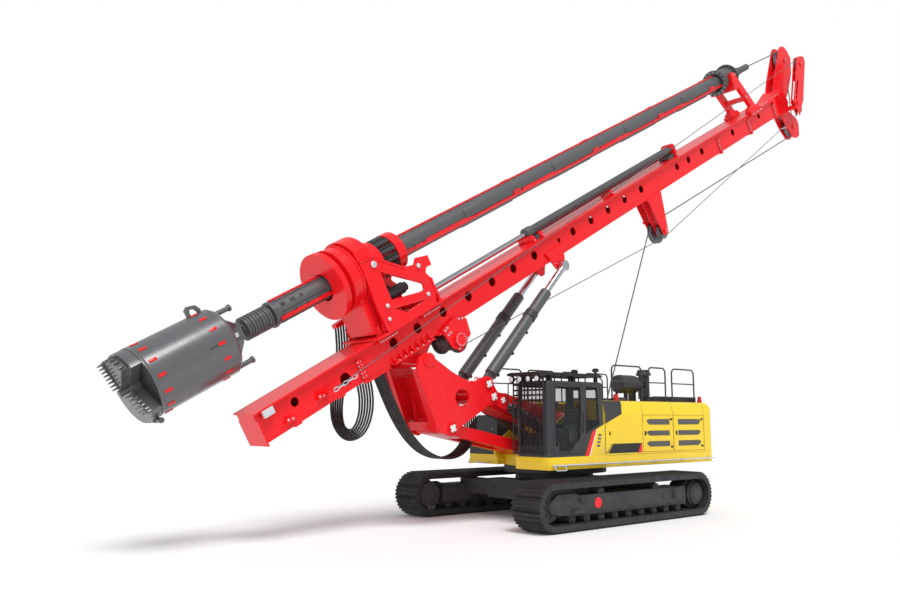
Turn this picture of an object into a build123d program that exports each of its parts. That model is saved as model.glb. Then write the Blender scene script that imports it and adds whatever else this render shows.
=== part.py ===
"""Rotary piling rig on tracks, with its mast part laid back and a drilling bucket on the kelly bar.

Frame: millimetres, +X forward, +Y to the machine's left, +Z up.  The origin is on the ground
under the slewing axis.  Mast pieces use their own coordinates: s runs up along the mast from its
foot, v runs out from the mast's back face towards the kelly bar.
"""

import os
from math import atan2, cos, degrees, hypot, pi, radians, sin

from build123d import *

# ---------------------------------------------------------------- driving dimensions
# undercarriage
track_length = 6280
track_height = 1050
track_outer_y = 2390
shoe_width = 800
shoe_count = 50
grouser_height = 42
track_thickness = 118
cross_beam_x = 1150
cross_beam_size = (400, 360)
cross_beam_z = 680
beam_wall = 40
slide_gap = 6

# slewing upper part
deck_top = 1500
deck_bottom = 1230
half_width = 1750
house_front = 190
house_rear = -3900
counterweight_rear = -4340
house_top = 2760
sheet = 40

# linkage places, as (x, z)
boom_foot = (90, 2310)
boom_head = (2680, 2820)
link_foot = (1300, 1620)
link_head = (3890, 2130)
luff_foot = (350, 1800)
luff_eye = (2290, 2750)
mast_hinge = (4530, 3560)
tilt_foot = (2830, 3100)
tilt_eye = (50, 6130)
boom_half_width = 300
luff_cylinder_y = 430
tilt_cylinder_y = 460
delta_plate_y = 570
delta_plate = 60

# mast, measured along s and out along v
mast_lean = 29.3
mast_foot = (8118, 1867)
mast_length = 22500
web_width = 625
web_depth = 600
flange_width = 860
flange_plate = 36
web_plate = 22
kelly_v = 2020

# kelly bar and tool
kelly_radius = 240
kelly_bore = 200
kelly_low = 1300
kelly_top = 20900
key_height = 34
inner_radius = 150
bucket_radius = 650
bucket_low = -1450
bucket_top = 150
bucket_wall = 30
bucket_face = 60

# ---------------------------------------------------------------- planes and helpers
lean = radians(mast_lean)
mast_up = Vector(-cos(lean), 0, sin(lean))
mast_out = Vector(sin(lean), 0, cos(lean))


def side(y=0):
    """Plane of a side view at width y: its own x is X and its own y is Z."""
    return Plane.XZ.offset(-y)


def mast_point(s, v, y=0):
    """Point at length s up the mast, v out from its back face."""
    return Vector(mast_foot[0], y, mast_foot[1]) + mast_up * s + mast_out * v


def mast_side(y=0):
    """Plane of the mast's side view at width y: its own x is s and its own y is v."""
    return Plane(origin=mast_point(0, 0, y), x_dir=mast_up, z_dir=(0, 1, 0))


def mast_cut(s, v=0, y=0):
    """Plane across the mast at s: its own y runs out along v, its own x to the right."""
    return Plane(origin=mast_point(s, v, y), x_dir=(0, -1, 0), z_dir=mast_up)


def kelly_cut(s):
    """Plane across the kelly bar's axis at s."""
    return mast_cut(s, kelly_v)


def mast_place(x, z):
    """The s and v of a point given by its x and z."""
    dx = x - mast_foot[0]
    dz = z - mast_foot[1]
    return (dx * mast_up.X + dz * mast_up.Z, dx * mast_out.X + dz * mast_out.Z)


def along(start, end):
    """Length and angle of the line between two side-view points."""
    dx = end[0] - start[0]
    dz = end[1] - start[1]
    return hypot(dx, dz), degrees(atan2(dz, dx))


def axis_plane(start, end, y, distance):
    """Plane across the line from start to end at width y, at a distance from start."""
    length, angle = along(start, end)
    run = Vector(cos(radians(angle)), 0, sin(radians(angle)))
    return Plane(origin=Vector(start[0], y, start[1]) + run * distance, x_dir=(0, 1, 0), z_dir=run)


os.makedirs("parts", exist_ok=True)

# ---------------------------------------------------------------- tracks
end_radius = track_height / 2
end_x = track_length / 2 - end_radius
plate_radius = end_radius - grouser_height
loop_length = 4 * end_x + 2 * pi * plate_radius


def loop_point(distance, height):
    """Point on the track's outline: distance along it, height over the shoe plates."""
    straight = 2 * end_x
    bend = pi * plate_radius
    radius = plate_radius + height
    distance = distance % loop_length
    if distance < straight:
        return (-end_x + distance, end_radius - radius)
    if distance < straight + bend:
        turn = (distance - straight) / plate_radius - pi / 2
        return (end_x + radius * cos(turn), end_radius + radius * sin(turn))
    if distance < 2 * straight + bend:
        return (end_x - (distance - straight - bend), end_radius + radius)
    turn = (distance - 2 * straight - bend) / plate_radius + pi / 2
    return (-end_x + radius * cos(turn), end_radius + radius * sin(turn))


# columns: share of one shoe's pitch, height over the plate
shoe_profile = [
    (0.02, -16),
    (0.06, 0),
    (0.14, grouser_height),
    (0.22, 0),
    (0.42, 0),
    (0.50, grouser_height),
    (0.58, 0),
    (0.78, 0),
    (0.86, grouser_height),
    (0.94, 0),
    (0.98, -16),
]
shoe_pitch = loop_length / shoe_count
track_outline = []
for shoe in range(shoe_count):
    for share, height in shoe_profile:
        track_outline.append(loop_point((shoe + share) * shoe_pitch, height))

track_y = track_outer_y - shoe_width / 2
frame_half = 270
roller_radius = 105
roller_z = end_radius - plate_radius + track_thickness + roller_radius + 4
wheel_radius = plate_radius - track_thickness - 6
hub_radius = 300

for name, hand in (("left", 1), ("right", -1)):
    with BuildPart() as track:
        with BuildSketch(side(hand * track_y)):
            Polygon(*track_outline, align=None)
            with Locations((0, end_radius)):
                SlotCenterToCenter(2 * end_x, 2 * (plate_radius - track_thickness), mode=Mode.SUBTRACT)
        extrude(amount=shoe_width / 2, both=True)
    track.part.label = f"track_{name}"
    export_step(track.part, f"parts/track_{name}.step")

    with BuildPart() as track_frame:
        # side box of the frame
        with BuildSketch(side(hand * track_y)):
            with Locations((0, 520)):
                RectangleRounded(2 * end_x - 900, 420, 60)
        extrude(amount=frame_half, both=True)
        # sprocket at the rear and idler at the front
        with BuildSketch(side(hand * track_y)):
            with Locations((-end_x, end_radius), (end_x, end_radius)):
                Circle(wheel_radius)
            with Locations((-end_x + 450, 520), (end_x - 450, 520)):
                Rectangle(900, 300)
        extrude(amount=110, both=True)
        # final drive and idler hubs, proud on the outer side
        with BuildSketch(side(hand * (track_y - 60))):
            with Locations((-end_x, end_radius), (end_x, end_radius)):
                Circle(hub_radius)
        extrude(amount=frame_half, both=True)
        # bottom and top rollers
        with BuildSketch(side(hand * track_y)):
            for number in range(9):
                with Locations(((number - 4) * 480, roller_z)):
                    Circle(roller_radius)
            for number in (-1, 1):
                with Locations((number * 1000, track_height - roller_z + 25)):
                    Circle(roller_radius - 25)
        extrude(amount=210, both=True)
        # beams that slide into the car body
        with BuildSketch(Plane.XZ.offset(-hand * 660)):
            with Locations((-cross_beam_x, cross_beam_z), (cross_beam_x, cross_beam_z)):
                Rectangle(*cross_beam_size)
        extrude(amount=-hand * (track_y - 660))
    track_frame.part.label = f"track_frame_{name}"
    export_step(track_frame.part, f"parts/track_frame_{name}.step")

# ---------------------------------------------------------------- car body
tube_half = 942
tube_outer = (cross_beam_size[0] + 2 * (slide_gap + beam_wall), cross_beam_size[1] + 2 * (slide_gap + beam_wall))
tube_inner = (cross_beam_size[0] + 2 * slide_gap, cross_beam_size[1] + 2 * slide_gap)
ring_radius = 1250
tow_x = -1570
tow_radius = 35
ring_top = 1205
ring_bottom = 1065
pedestal_radius = 930

with BuildPart() as car_body:
    with BuildSketch(Plane.XZ):
        with Locations((-cross_beam_x, cross_beam_z), (cross_beam_x, cross_beam_z)):
            Rectangle(*tube_outer)
    extrude(amount=tube_half, both=True)
    with BuildSketch(Plane.XY.offset(440)):
        Rectangle(2 * cross_beam_x, 1500)
    extrude(amount=420)
    with BuildSketch(Plane.XZ):
        with Locations((-cross_beam_x, cross_beam_z), (cross_beam_x, cross_beam_z)):
            Rectangle(*tube_inner)
    extrude(amount=tube_half + 10, both=True, mode=Mode.SUBTRACT)
    # flat towing lug at the rear, its pin dropped in from below
    with BuildSketch(Plane.XY.offset(cross_beam_z)):
        Polygon(
            (-cross_beam_x - tube_outer[0] / 2 + 5, -120),
            (-cross_beam_x - tube_outer[0] / 2 + 5, 120),
            (tow_x - 20, 85),
            (tow_x - 85, 40),
            (tow_x - 85, -40),
            (tow_x - 20, -85),
            align=None,
        )
        with Locations((tow_x, 0)):
            Circle(tow_radius, mode=Mode.SUBTRACT)
    extrude(amount=30, both=True)
    # slewing ring on its pedestal, clear of the drawn-in tracks
    with BuildSketch(Plane.XY.offset(860)):
        Circle(pedestal_radius)
    extrude(amount=ring_bottom - 860)
    with BuildSketch(Plane.XY.offset(ring_bottom)):
        Circle(ring_radius)
    extrude(amount=ring_top - ring_bottom)
car_body.part.label = "car_body"
export_step(car_body.part, "parts/car_body.step")

# ---------------------------------------------------------------- upper frame
deck_front = 1130
lug_front = 1480
lug_y = 600
lug_plate = 50

with BuildPart() as upper_frame:
    # deck with its skirt
    with BuildSketch(Plane.XY.offset(deck_bottom)):
        with Locations(((house_rear + house_front) / 2, 0)):
            Rectangle(house_front - house_rear, 2 * half_width)
        with Locations(((house_front + deck_front) / 2, 0)):
            Rectangle(deck_front - house_front, 1440)
    extrude(amount=deck_top - deck_bottom)
    with BuildSketch(Plane.XY.offset(deck_bottom - 1)):
        with Locations((-2600, 0)):
            Rectangle(2200, 2 * half_width - 2 * sheet)
    extrude(amount=deck_top - deck_bottom - sheet, mode=Mode.SUBTRACT)
    with BuildSketch(Plane.XY.offset(ring_top + 8)):
        Circle(ring_radius - 60)
    extrude(amount=deck_bottom - ring_top - 8)
    # two long beams under the deck
    with BuildSketch(Plane.XY.offset(deck_bottom)):
        with Locations((-2600, 560), (-2600, -560)):
            Rectangle(2300, 140)
    extrude(amount=deck_top - deck_bottom)
    # lug plates that carry the boom, the lower link and the luffing cylinders
    for y in (-lug_y, lug_y):
        with BuildSketch(side(y)):
            Polygon(
                (-900, deck_top - 20),
                (-250, boom_foot[1] + 60),
                (boom_foot[0] - 60, boom_foot[1] + 190),
                (boom_foot[0] + 150, boom_foot[1] + 150),
                (link_foot[0] + 100, link_foot[1] + 170),
                (lug_front, link_foot[1]),
                (lug_front, link_foot[1] - 130),
                (deck_front, deck_bottom),
                (deck_front - 200, deck_top - 20),
                align=None,
            )
        extrude(amount=lug_plate / 2, both=True)
upper_frame.part.label = "upper_frame"
export_step(upper_frame.part, "parts/upper_frame.step")

# ---------------------------------------------------------------- house
# columns: name, rear x, front x of each hood door
hood_doors = [
    ("mid", -2500, -1240),
    ("rear", -3860, -2520),
]
door_low = deck_top + 40
door_high = 2430
door_gap = 8
shoulder_z = 2450
roof_inset = 60
edge_round = 90
rear_round = 240
winch_x = -1500
winch_z = 2350
axle_radius = 80
axle_gap = 6


def house_section(x, inset, base):
    """Cross-section of the hood at x: upright sides, shoulders that lean in, rounded top edges."""
    half = half_width - inset
    top = house_top - inset
    with BuildSketch(Plane.YZ.offset(x)) as section:
        Polygon(
            (-half, base),
            (-half, shoulder_z),
            (-half + roof_inset, top),
            (half - roof_inset, top),
            (half, shoulder_z),
            (half, base),
            align=None,
        )
        fillet(section.vertices().group_by(Axis.Y)[-1], edge_round)
    return section


with BuildPart() as house_shell:
    outer_section = house_section(house_rear, 0, deck_top)
    extrude(outer_section.sketch, amount=house_front - house_rear)
    inner_section = house_section(house_rear + sheet, sheet, deck_top)
    extrude(inner_section.sketch, amount=house_front - house_rear - 2 * sheet, mode=Mode.SUBTRACT)
    # rope well over the main winch, open to the front for the boom
    with BuildSketch(Plane.XY.offset(deck_top)):
        with Locations(((-2100 + house_front) / 2, 0)):
            Rectangle(house_front + 2100, 1300)
    extrude(amount=house_top - deck_top, mode=Mode.SUBTRACT)
    # door openings in both sides
    for name, rear, front in hood_doors:
        with BuildSketch(Plane.XZ):
            with Locations(((rear + front) / 2, (door_low + door_high) / 2)):
                Rectangle(front - rear, door_high - door_low)
        extrude(amount=half_width + 10, both=True, mode=Mode.SUBTRACT)
house_shell.part.label = "house_shell"
export_step(house_shell.part, "parts/house_shell.step")

# columns: rear x, front x, door name of each louvre column; columns of louvre_rows: low z, high z
louvre_columns = [(-2360, -1400, "mid"), (-3740, -2720, "rear")]
louvre_rows = [(1660, 1795), (1925, 2050), (2190, 2330)]
for name, rear, front in hood_doors:
    for hand_name, hand in (("left", 1), ("right", -1)):
        with BuildPart() as hood_door:
            with BuildSketch(side(hand * (half_width - sheet / 2))):
                with Locations(((rear + front) / 2, (door_low + door_high) / 2)):
                    Rectangle(front - rear - 2 * door_gap, door_high - door_low - 2 * door_gap)
            extrude(amount=sheet / 2, both=True)
            # louvre recesses, half as deep as the door
            with BuildSketch(side(hand * half_width)):
                for louvre_rear, louvre_front, louvre_door in louvre_columns:
                    if louvre_door == name:
                        for low, high in louvre_rows:
                            with Locations(((louvre_rear + louvre_front) / 2, (low + high) / 2)):
                                Rectangle(louvre_front - louvre_rear, high - low)
            extrude(amount=sheet / 2, both=True, mode=Mode.SUBTRACT)
        hood_door.part.label = f"hood_door_{hand_name}_{name}"
        export_step(hood_door.part, f"parts/hood_door_{hand_name}_{name}.step")

with BuildPart() as engine_block:
    with BuildSketch(Plane.XY.offset(deck_top)):
        with Locations((-3050, 0)):
            Rectangle(1500, 1000)
    extrude(amount=950)
engine_block.part.label = "engine_block"
export_step(engine_block.part, "parts/engine_block.step")

with BuildPart() as counterweight:
    weight_section = house_section(counterweight_rear, 0, deck_bottom)
    extrude(weight_section.sketch, amount=house_rear - counterweight_rear)
    fillet(counterweight.edges().filter_by(Axis.Z).group_by(Axis.X)[0], rear_round - 60)
    with BuildSketch(Plane.XZ):
        Polygon(
            (counterweight_rear - 10, house_top - rear_round),
            (counterweight_rear - 10, house_top + 10),
            (counterweight_rear + rear_round, house_top + 10),
            align=None,
        )
    extrude(amount=half_width + 10, both=True, mode=Mode.SUBTRACT)
counterweight.part.label = "counterweight"
export_step(counterweight.part, "parts/counterweight.step")

# dark walkway grating along the roof behind the cab
with BuildPart() as roof_deck:
    for y in (-1150, 1150):
        with BuildSketch(Plane.XY.offset(house_top)):
            with Locations((-3210, y)):
                Rectangle(1900, 420)
        extrude(amount=90)
roof_deck.part.label = "roof_deck"
export_step(roof_deck.part, "parts/roof_deck.step")

with BuildPart() as main_winch_drum:
    with BuildSketch(Plane.XZ):
        with Locations((winch_x, winch_z)):
            Circle(300)
    extrude(amount=420, both=True)
    for y in (-440, 440):
        with BuildSketch(side(y)):
            with Locations((winch_x, winch_z)):
                Circle(395)
        extrude(amount=20, both=True)
    with BuildSketch(Plane.XZ):
        with Locations((winch_x, winch_z)):
            Circle(axle_radius + axle_gap)
    extrude(amount=470, both=True, mode=Mode.SUBTRACT)
main_winch_drum.part.label = "main_winch_drum"
export_step(main_winch_drum.part, "parts/main_winch_drum.step")

# winch cheeks stand on the deck
with BuildPart() as winch_stand:
    for y in (-530, 530):
        with BuildSketch(side(y)):
            Polygon(
                (winch_x - 450, deck_top),
                (winch_x - 200, winch_z + 150),
                (winch_x + 200, winch_z + 150),
                (winch_x + 450, deck_top),
                align=None,
            )
        extrude(amount=40, both=True)
    with BuildSketch(Plane.XZ):
        with Locations((winch_x, winch_z)):
            Circle(axle_radius)
    extrude(amount=500, both=True)
winch_stand.part.label = "winch_stand"
export_step(winch_stand.part, "parts/winch_stand.step")

# ---------------------------------------------------------------- cab
cab_rear = 270
cab_front = 2110
cab_inner_y = 750
cab_top = 3170
cab_wall = 50
cab_round = 130
cab_y = (cab_inner_y + half_width) / 2
cab_width = half_width - cab_inner_y
sill_z = 1760
head_z = 3050
door_rear = 950
door_front = 1960
quarter_rear = 400
guard_z = cab_top + 110
guard_front = 2380
guard_gap = 15
pane = 8


def windscreen(inset, x, reach):
    """Sketch of the front window at x, drawn in by inset all round."""
    with BuildSketch(Plane.YZ.offset(x)) as window:
        with Locations((cab_y, (sill_z + head_z) / 2)):
            Rectangle(cab_width - 2 * reach - 2 * inset, head_z - sill_z - 2 * inset)
    return window


def quarter_window(inset, y):
    """Sketch of the side window behind the door, drawn in by inset all round."""
    with BuildSketch(side(y)) as window:
        Polygon(
            (quarter_rear + 10, 2200),
            (quarter_rear + 70, head_z),
            (door_rear - 80, head_z),
            (door_rear - 80, 2010),
            align=None,
        )
        offset(amount=-inset) if inset else None
    return window


with BuildPart() as cab_shell:
    # floor tray in front of the house
    with BuildSketch(Plane.XY.offset(deck_bottom)):
        with Locations(((house_front + cab_front) / 2 + 10, cab_y)):
            Rectangle(cab_front - house_front - 20, cab_width)
    extrude(amount=deck_top - deck_bottom)
    # cabin with rounded front and roof edges
    with BuildSketch(Plane.XY.offset(deck_top)) as cab_plan:
        with Locations(((cab_rear + cab_front) / 2, cab_y)):
            Rectangle(cab_front - cab_rear, cab_width)
        fillet(cab_plan.vertices().group_by(Axis.X)[-1], cab_round)
    extrude(amount=cab_top - deck_top)
    fillet(cab_shell.faces().sort_by(Axis.Z)[-1].edges(), 60)
    with BuildSketch(Plane.XY.offset(deck_top + cab_wall)):
        with Locations(((cab_rear + cab_front) / 2, cab_y)):
            Rectangle(cab_front - cab_rear - 2 * cab_wall, cab_width - 2 * cab_wall)
    extrude(amount=cab_top - deck_top - 2 * cab_wall, mode=Mode.SUBTRACT)
    # windscreen and rear window openings
    screen_opening = windscreen(0, cab_front - 100, 130)
    extrude(screen_opening.sketch, amount=150, mode=Mode.SUBTRACT)
    with BuildSketch(Plane.YZ.offset(cab_rear - 20)):
        with Locations((cab_y, 2650)):
            Rectangle(cab_width - 260, 700)
    extrude(amount=100, mode=Mode.SUBTRACT)
    # door opening and quarter window on the left, one long window on the right
    with BuildSketch(side(half_width)):
        with Locations(((door_rear + door_front) / 2, (deck_top + cab_top) / 2)):
            Rectangle(door_front - door_rear, cab_top - deck_top - 130)
    extrude(amount=cab_wall + 20, both=True, mode=Mode.SUBTRACT)
    quarter_opening = quarter_window(0, half_width)
    extrude(quarter_opening.sketch, amount=cab_wall + 20, both=True, mode=Mode.SUBTRACT)
    with BuildSketch(side(cab_inner_y)):
        with Locations(((quarter_rear + cab_front - 160) / 2, (2000 + head_z) / 2)):
            Rectangle(cab_front - 160 - quarter_rear, head_z - 2000)
    extrude(amount=cab_wall + 20, both=True, mode=Mode.SUBTRACT)
cab_shell.part.label = "cab_shell"
export_step(cab_shell.part, "parts/cab_shell.step")

# roof guard on posts, and the bar guard that stands on struts in front of the windscreen
with BuildPart() as cab_guard:
    with BuildSketch(Plane.XY.offset(guard_z)):
        with Locations(((cab_rear + guard_front) / 2, cab_y)):
            Rectangle(guard_front - cab_rear, cab_width)
            for number in range(8):
                with Locations(((number - 3.5) * 255, 0)):
                    Rectangle(190, cab_width - 300, mode=Mode.SUBTRACT)
    extrude(amount=55)
    with BuildSketch(Plane.XY.offset(cab_top)):
        for x in (cab_rear + 100, 1150, cab_front - 180):
            for y in (cab_inner_y + 110, half_width - 110):
                with Locations((x, y)):
                    Rectangle(80, 60)
    extrude(amount=guard_z - cab_top)
    with BuildSketch(Plane.XY.offset(deck_top + 60)):
        for number in range(9):
            with Locations((cab_front + 110, cab_inner_y + 40 + number * (cab_width - 80) / 8)):
                Rectangle(26, 16)
    extrude(amount=guard_z - guard_gap - deck_top - 60)
    with BuildSketch(Plane.YZ.offset(cab_front + 102)):
        for z in (deck_top + 85, 2350, 2740, 2850, 2960, 3080):
            with Locations((cab_y, z)):
                Rectangle(cab_width - 80, 40)
    extrude(amount=16)
    for z in (deck_top + 65, 3060):
        with BuildSketch(Plane.XY.offset(z)):
            for y in (cab_inner_y + 160, half_width - 160):
                with Locations((cab_front + 52, y)):
                    Rectangle(104, 40)
        extrude(amount=40)
cab_guard.part.label = "cab_guard"
export_step(cab_guard.part, "parts/cab_guard.step")


def door_window(inset):
    """Sketch of the door's window, drawn in by inset all round."""
    with BuildSketch(side(half_width - cab_wall / 2)) as window:
        Polygon(
            (door_front - 70, head_z - 10),
            (door_front - 50, 1900),
            (door_front - 190, 1770),
            (door_front - 200, 1640),
            (door_front - 540, 1620),
            (door_front - 700, 1770),
            (door_front - 880, 1890),
            (door_front - 930, 2560),
            (door_front - 910, head_z - 10),
            align=None,
        )
        offset(amount=-inset) if inset else None
    return window


with BuildPart() as cab_door:
    with BuildSketch(side(half_width - cab_wall / 2)):
        with Locations(((door_rear + door_front) / 2, (deck_top + cab_top) / 2)):
            Rectangle(door_front - door_rear - 16, cab_top - deck_top - 146)
    extrude(amount=cab_wall / 2, both=True)
    door_hole = door_window(0)
    extrude(door_hole.sketch, amount=cab_wall, both=True, mode=Mode.SUBTRACT)
cab_door.part.label = "cab_door"
export_step(cab_door.part, "parts/cab_door.step")

with BuildPart() as cab_door_glass:
    door_pane = door_window(1)
    extrude(door_pane.sketch, amount=pane / 2, both=True)
cab_door_glass.part.label = "cab_door_glass"
export_step(cab_door_glass.part, "parts/cab_door_glass.step")

with BuildPart() as cab_glass:
    screen_pane = windscreen(1, cab_front - 30, 130)
    extrude(screen_pane.sketch, amount=pane)
    with BuildSketch(Plane.YZ.offset(cab_rear + cab_wall / 2)):
        with Locations((cab_y, 2650)):
            Rectangle(cab_width - 262, 698)
    extrude(amount=pane)
    quarter_pane = quarter_window(1, half_width - cab_wall / 2)
    extrude(quarter_pane.sketch, amount=pane / 2, both=True)
    with BuildSketch(side(cab_inner_y + cab_wall / 2)):
        with Locations(((quarter_rear + cab_front - 160) / 2, (2000 + head_z) / 2)):
            Rectangle(cab_front - 162 - quarter_rear, head_z - 2002)
    extrude(amount=pane / 2, both=True)
cab_glass.part.label = "cab_glass"
export_step(cab_glass.part, "parts/cab_glass.step")

seat_x = 950
seat_y = 1250
with BuildPart() as cab_seat:
    with BuildSketch(side(seat_y)):
        Polygon(
            (seat_x - 220, deck_top + cab_wall),
            (seat_x - 240, deck_top + 480),
            (seat_x - 380, 2620),
            (seat_x - 260, 2620),
            (seat_x - 110, 2090),
            (seat_x + 260, 2110),
            (seat_x + 250, 1960),
            (seat_x + 120, 1940),
            (seat_x + 120, deck_top + cab_wall),
            align=None,
        )
    extrude(amount=250, both=True)
cab_seat.part.label = "cab_seat"
export_step(cab_seat.part, "parts/cab_seat.step")

# ---------------------------------------------------------------- right-hand front box
box_front = 1240
box_inner_y = -750
box_top = 1465
cover_top = 2420
with BuildPart() as right_box:
    with BuildSketch(Plane.XY.offset(deck_bottom)):
        with Locations(((house_front + box_front) / 2 + 5, (box_inner_y - half_width) / 2)):
            Rectangle(box_front - house_front - 10, half_width + box_inner_y)
    extrude(amount=box_top - deck_bottom)
right_box.part.label = "right_box"
export_step(right_box.part, "parts/right_box.step")

with BuildPart() as right_cover:
    with BuildSketch(Plane.YZ.offset(house_front + 10)) as cover_section:
        Polygon(
            (-half_width, box_top),
            (-half_width, cover_top - 240),
            (-half_width + 300, cover_top),
            (box_inner_y, cover_top),
            (box_inner_y, box_top),
            align=None,
        )
        fillet(cover_section.vertices().group_by(Axis.Y)[-1].sort_by(Axis.X)[0], 90)
    extrude(amount=box_front - house_front - 10)
right_cover.part.label = "right_cover"
export_step(right_cover.part, "parts/right_cover.step")

# ---------------------------------------------------------------- roof fittings
rail_top = 3620
rail_radius = 20
rail_bend = 130
rail_y = 1450
# columns: y, rear x, its foot's z, front x, its foot's z of each hoop
hoops = [
    (rail_y, -1650, house_top, -470, house_top),
    (rail_y, -2660, house_top + 90, -1940, house_top),
    (rail_y, -3950, house_top + 90, -2950, house_top + 90),
    (-rail_y, -350, house_top, 950, cover_top),
    (-rail_y, -1650, house_top, -570, house_top),
    (-rail_y, -2660, house_top + 90, -1940, house_top),
    (-rail_y, -3950, house_top + 90, -2950, house_top + 90),
]

with BuildPart() as handrails:
    for y, rear, rear_foot, front, front_foot in hoops:
        with BuildLine() as hoop:
            FilletPolyline(
                (rear, y, rear_foot),
                (rear, y, rail_top),
                (front, y, rail_top),
                (front, y, front_foot),
                radius=rail_bend,
            )
        with BuildSketch(Plane.XY.offset(rear_foot)):
            with Locations((rear, y)):
                Circle(rail_radius)
        sweep(path=hoop.line)
        with BuildSketch(Plane.YZ.offset(rear)):
            with Locations((y, house_top + 480)):
                Circle(rail_radius * 0.8)
        extrude(amount=front - rear)
handrails.part.label = "handrails"
export_step(handrails.part, "parts/handrails.step")

stack_x = -2700
cleaner_y = 750
cleaner_z = 3215
with BuildPart() as air_cleaner:
    # filter drum along the roof on four legs
    with BuildSketch(Plane.YZ.offset(-2260)):
        with Locations((cleaner_y, cleaner_z)):
            Circle(225)
    extrude(amount=670)
    with BuildSketch(Plane.XY.offset(house_top)):
        for x in (-2120, -1720):
            for y in (cleaner_y - 130, cleaner_y + 130):
                with Locations((x, y)):
                    Rectangle(50, 50)
    extrude(amount=cleaner_z - house_top - 150)
    # elbow and intake stack with its cap
    with BuildSketch(Plane.YZ.offset(-2270)):
        with Locations((cleaner_y, cleaner_z)):
            Circle(110)
    extrude(amount=stack_x + 2270)
    with BuildSketch(Plane.XY.offset(house_top + 90)):
        with Locations((stack_x, cleaner_y)):
            Circle(125)
    extrude(amount=3480 - house_top - 90)
    with BuildSketch(Plane.XY.offset(3470)):
        with Locations((stack_x, cleaner_y)):
            Circle(190)
    extrude(amount=140, taper=14)
air_cleaner.part.label = "air_cleaner"
export_step(air_cleaner.part, "parts/air_cleaner.step")

with BuildPart() as beacons:
    for x, y in ((-4120, 1500), (-430, 1600)):
        with BuildSketch(Plane.XY.offset(house_top)):
            with Locations((x, y)):
                Circle(60)
        extrude(amount=70)
        with BuildSketch(Plane.XY.offset(house_top + 60)):
            with Locations((x, y)):
                Circle(48)
        extrude(amount=100)
beacons.part.label = "beacons"
export_step(beacons.part, "parts/beacons.step")

# ---------------------------------------------------------------- boom, lower link and delta frame
boom_hub = 165
link_half_width = 500
link_hub = 130
cheek_y = 512
hose_bar = (3000, 2580)

with BuildPart() as boom:
    with BuildSketch(Plane.XZ):
        Polygon(
            (boom_foot[0] - 150, boom_foot[1] + 40),
            (boom_foot[0] + 60, boom_foot[1] + 180),
            (boom_head[0] - 700, boom_head[1] + 90),
            (boom_head[0] + 40, boom_head[1] + 160),
            (boom_head[0] + 160, boom_head[1]),
            (boom_head[0] + 20, boom_head[1] - 165),
            (boom_head[0] - 700, boom_head[1] - 400),
            (boom_foot[0] + 700, boom_foot[1] - 150),
            (boom_foot[0] - 20, boom_foot[1] - 170),
            align=None,
        )
    extrude(amount=boom_half_width, both=True)
    with BuildSketch(Plane.XZ):
        with Locations(boom_foot, boom_head):
            Circle(boom_hub)
    extrude(amount=530, both=True)
    with BuildSketch(Plane.XZ):
        with Locations(luff_eye):
            Circle(110)
    extrude(amount=boom_half_width + 55, both=True)
    # cheek plates outside the luffing cylinders' eyes
    for y in (-cheek_y, cheek_y):
        with BuildSketch(side(y)):
            Polygon(
                (luff_eye[0] + 280, luff_eye[1] + 165),
                (luff_eye[0] - 170, luff_eye[1] + 105),
                (luff_eye[0] - 190, luff_eye[1] - 90),
                (luff_eye[0] - 60, luff_eye[1] - 210),
                (boom_head[0] - 20, boom_head[1] - 150),
                (boom_head[0] + 40, boom_head[1] + 60),
                align=None,
            )
        extrude(amount=15, both=True)
boom.part.label = "boom"
export_step(boom.part, "parts/boom.step")

with BuildPart() as lower_link:
    with BuildSketch(Plane.XZ):
        Polygon(
            (link_foot[0] - 30, link_foot[1] - 125),
            (link_foot[0] - 30, link_foot[1] + 125),
            (link_head[0] - 60, link_head[1] + 120),
            (link_head[0] + 60, link_head[1] - 120),
            (link_head[0] - 300, link_head[1] - 190),
            align=None,
        )
    extrude(amount=link_half_width - 40, both=True)
    with BuildSketch(Plane.XZ):
        with Locations(link_foot, link_head):
            Circle(link_hub)
    extrude(amount=link_half_width + 30, both=True)
    # window through the link's middle
    with BuildSketch(Plane.XY):
        with Locations(((link_foot[0] + link_head[0]) / 2, 0)):
            Rectangle(1500, 500)
    extrude(amount=3000, mode=Mode.SUBTRACT)
lower_link.part.label = "lower_link"
export_step(lower_link.part, "parts/lower_link.step")

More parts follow.
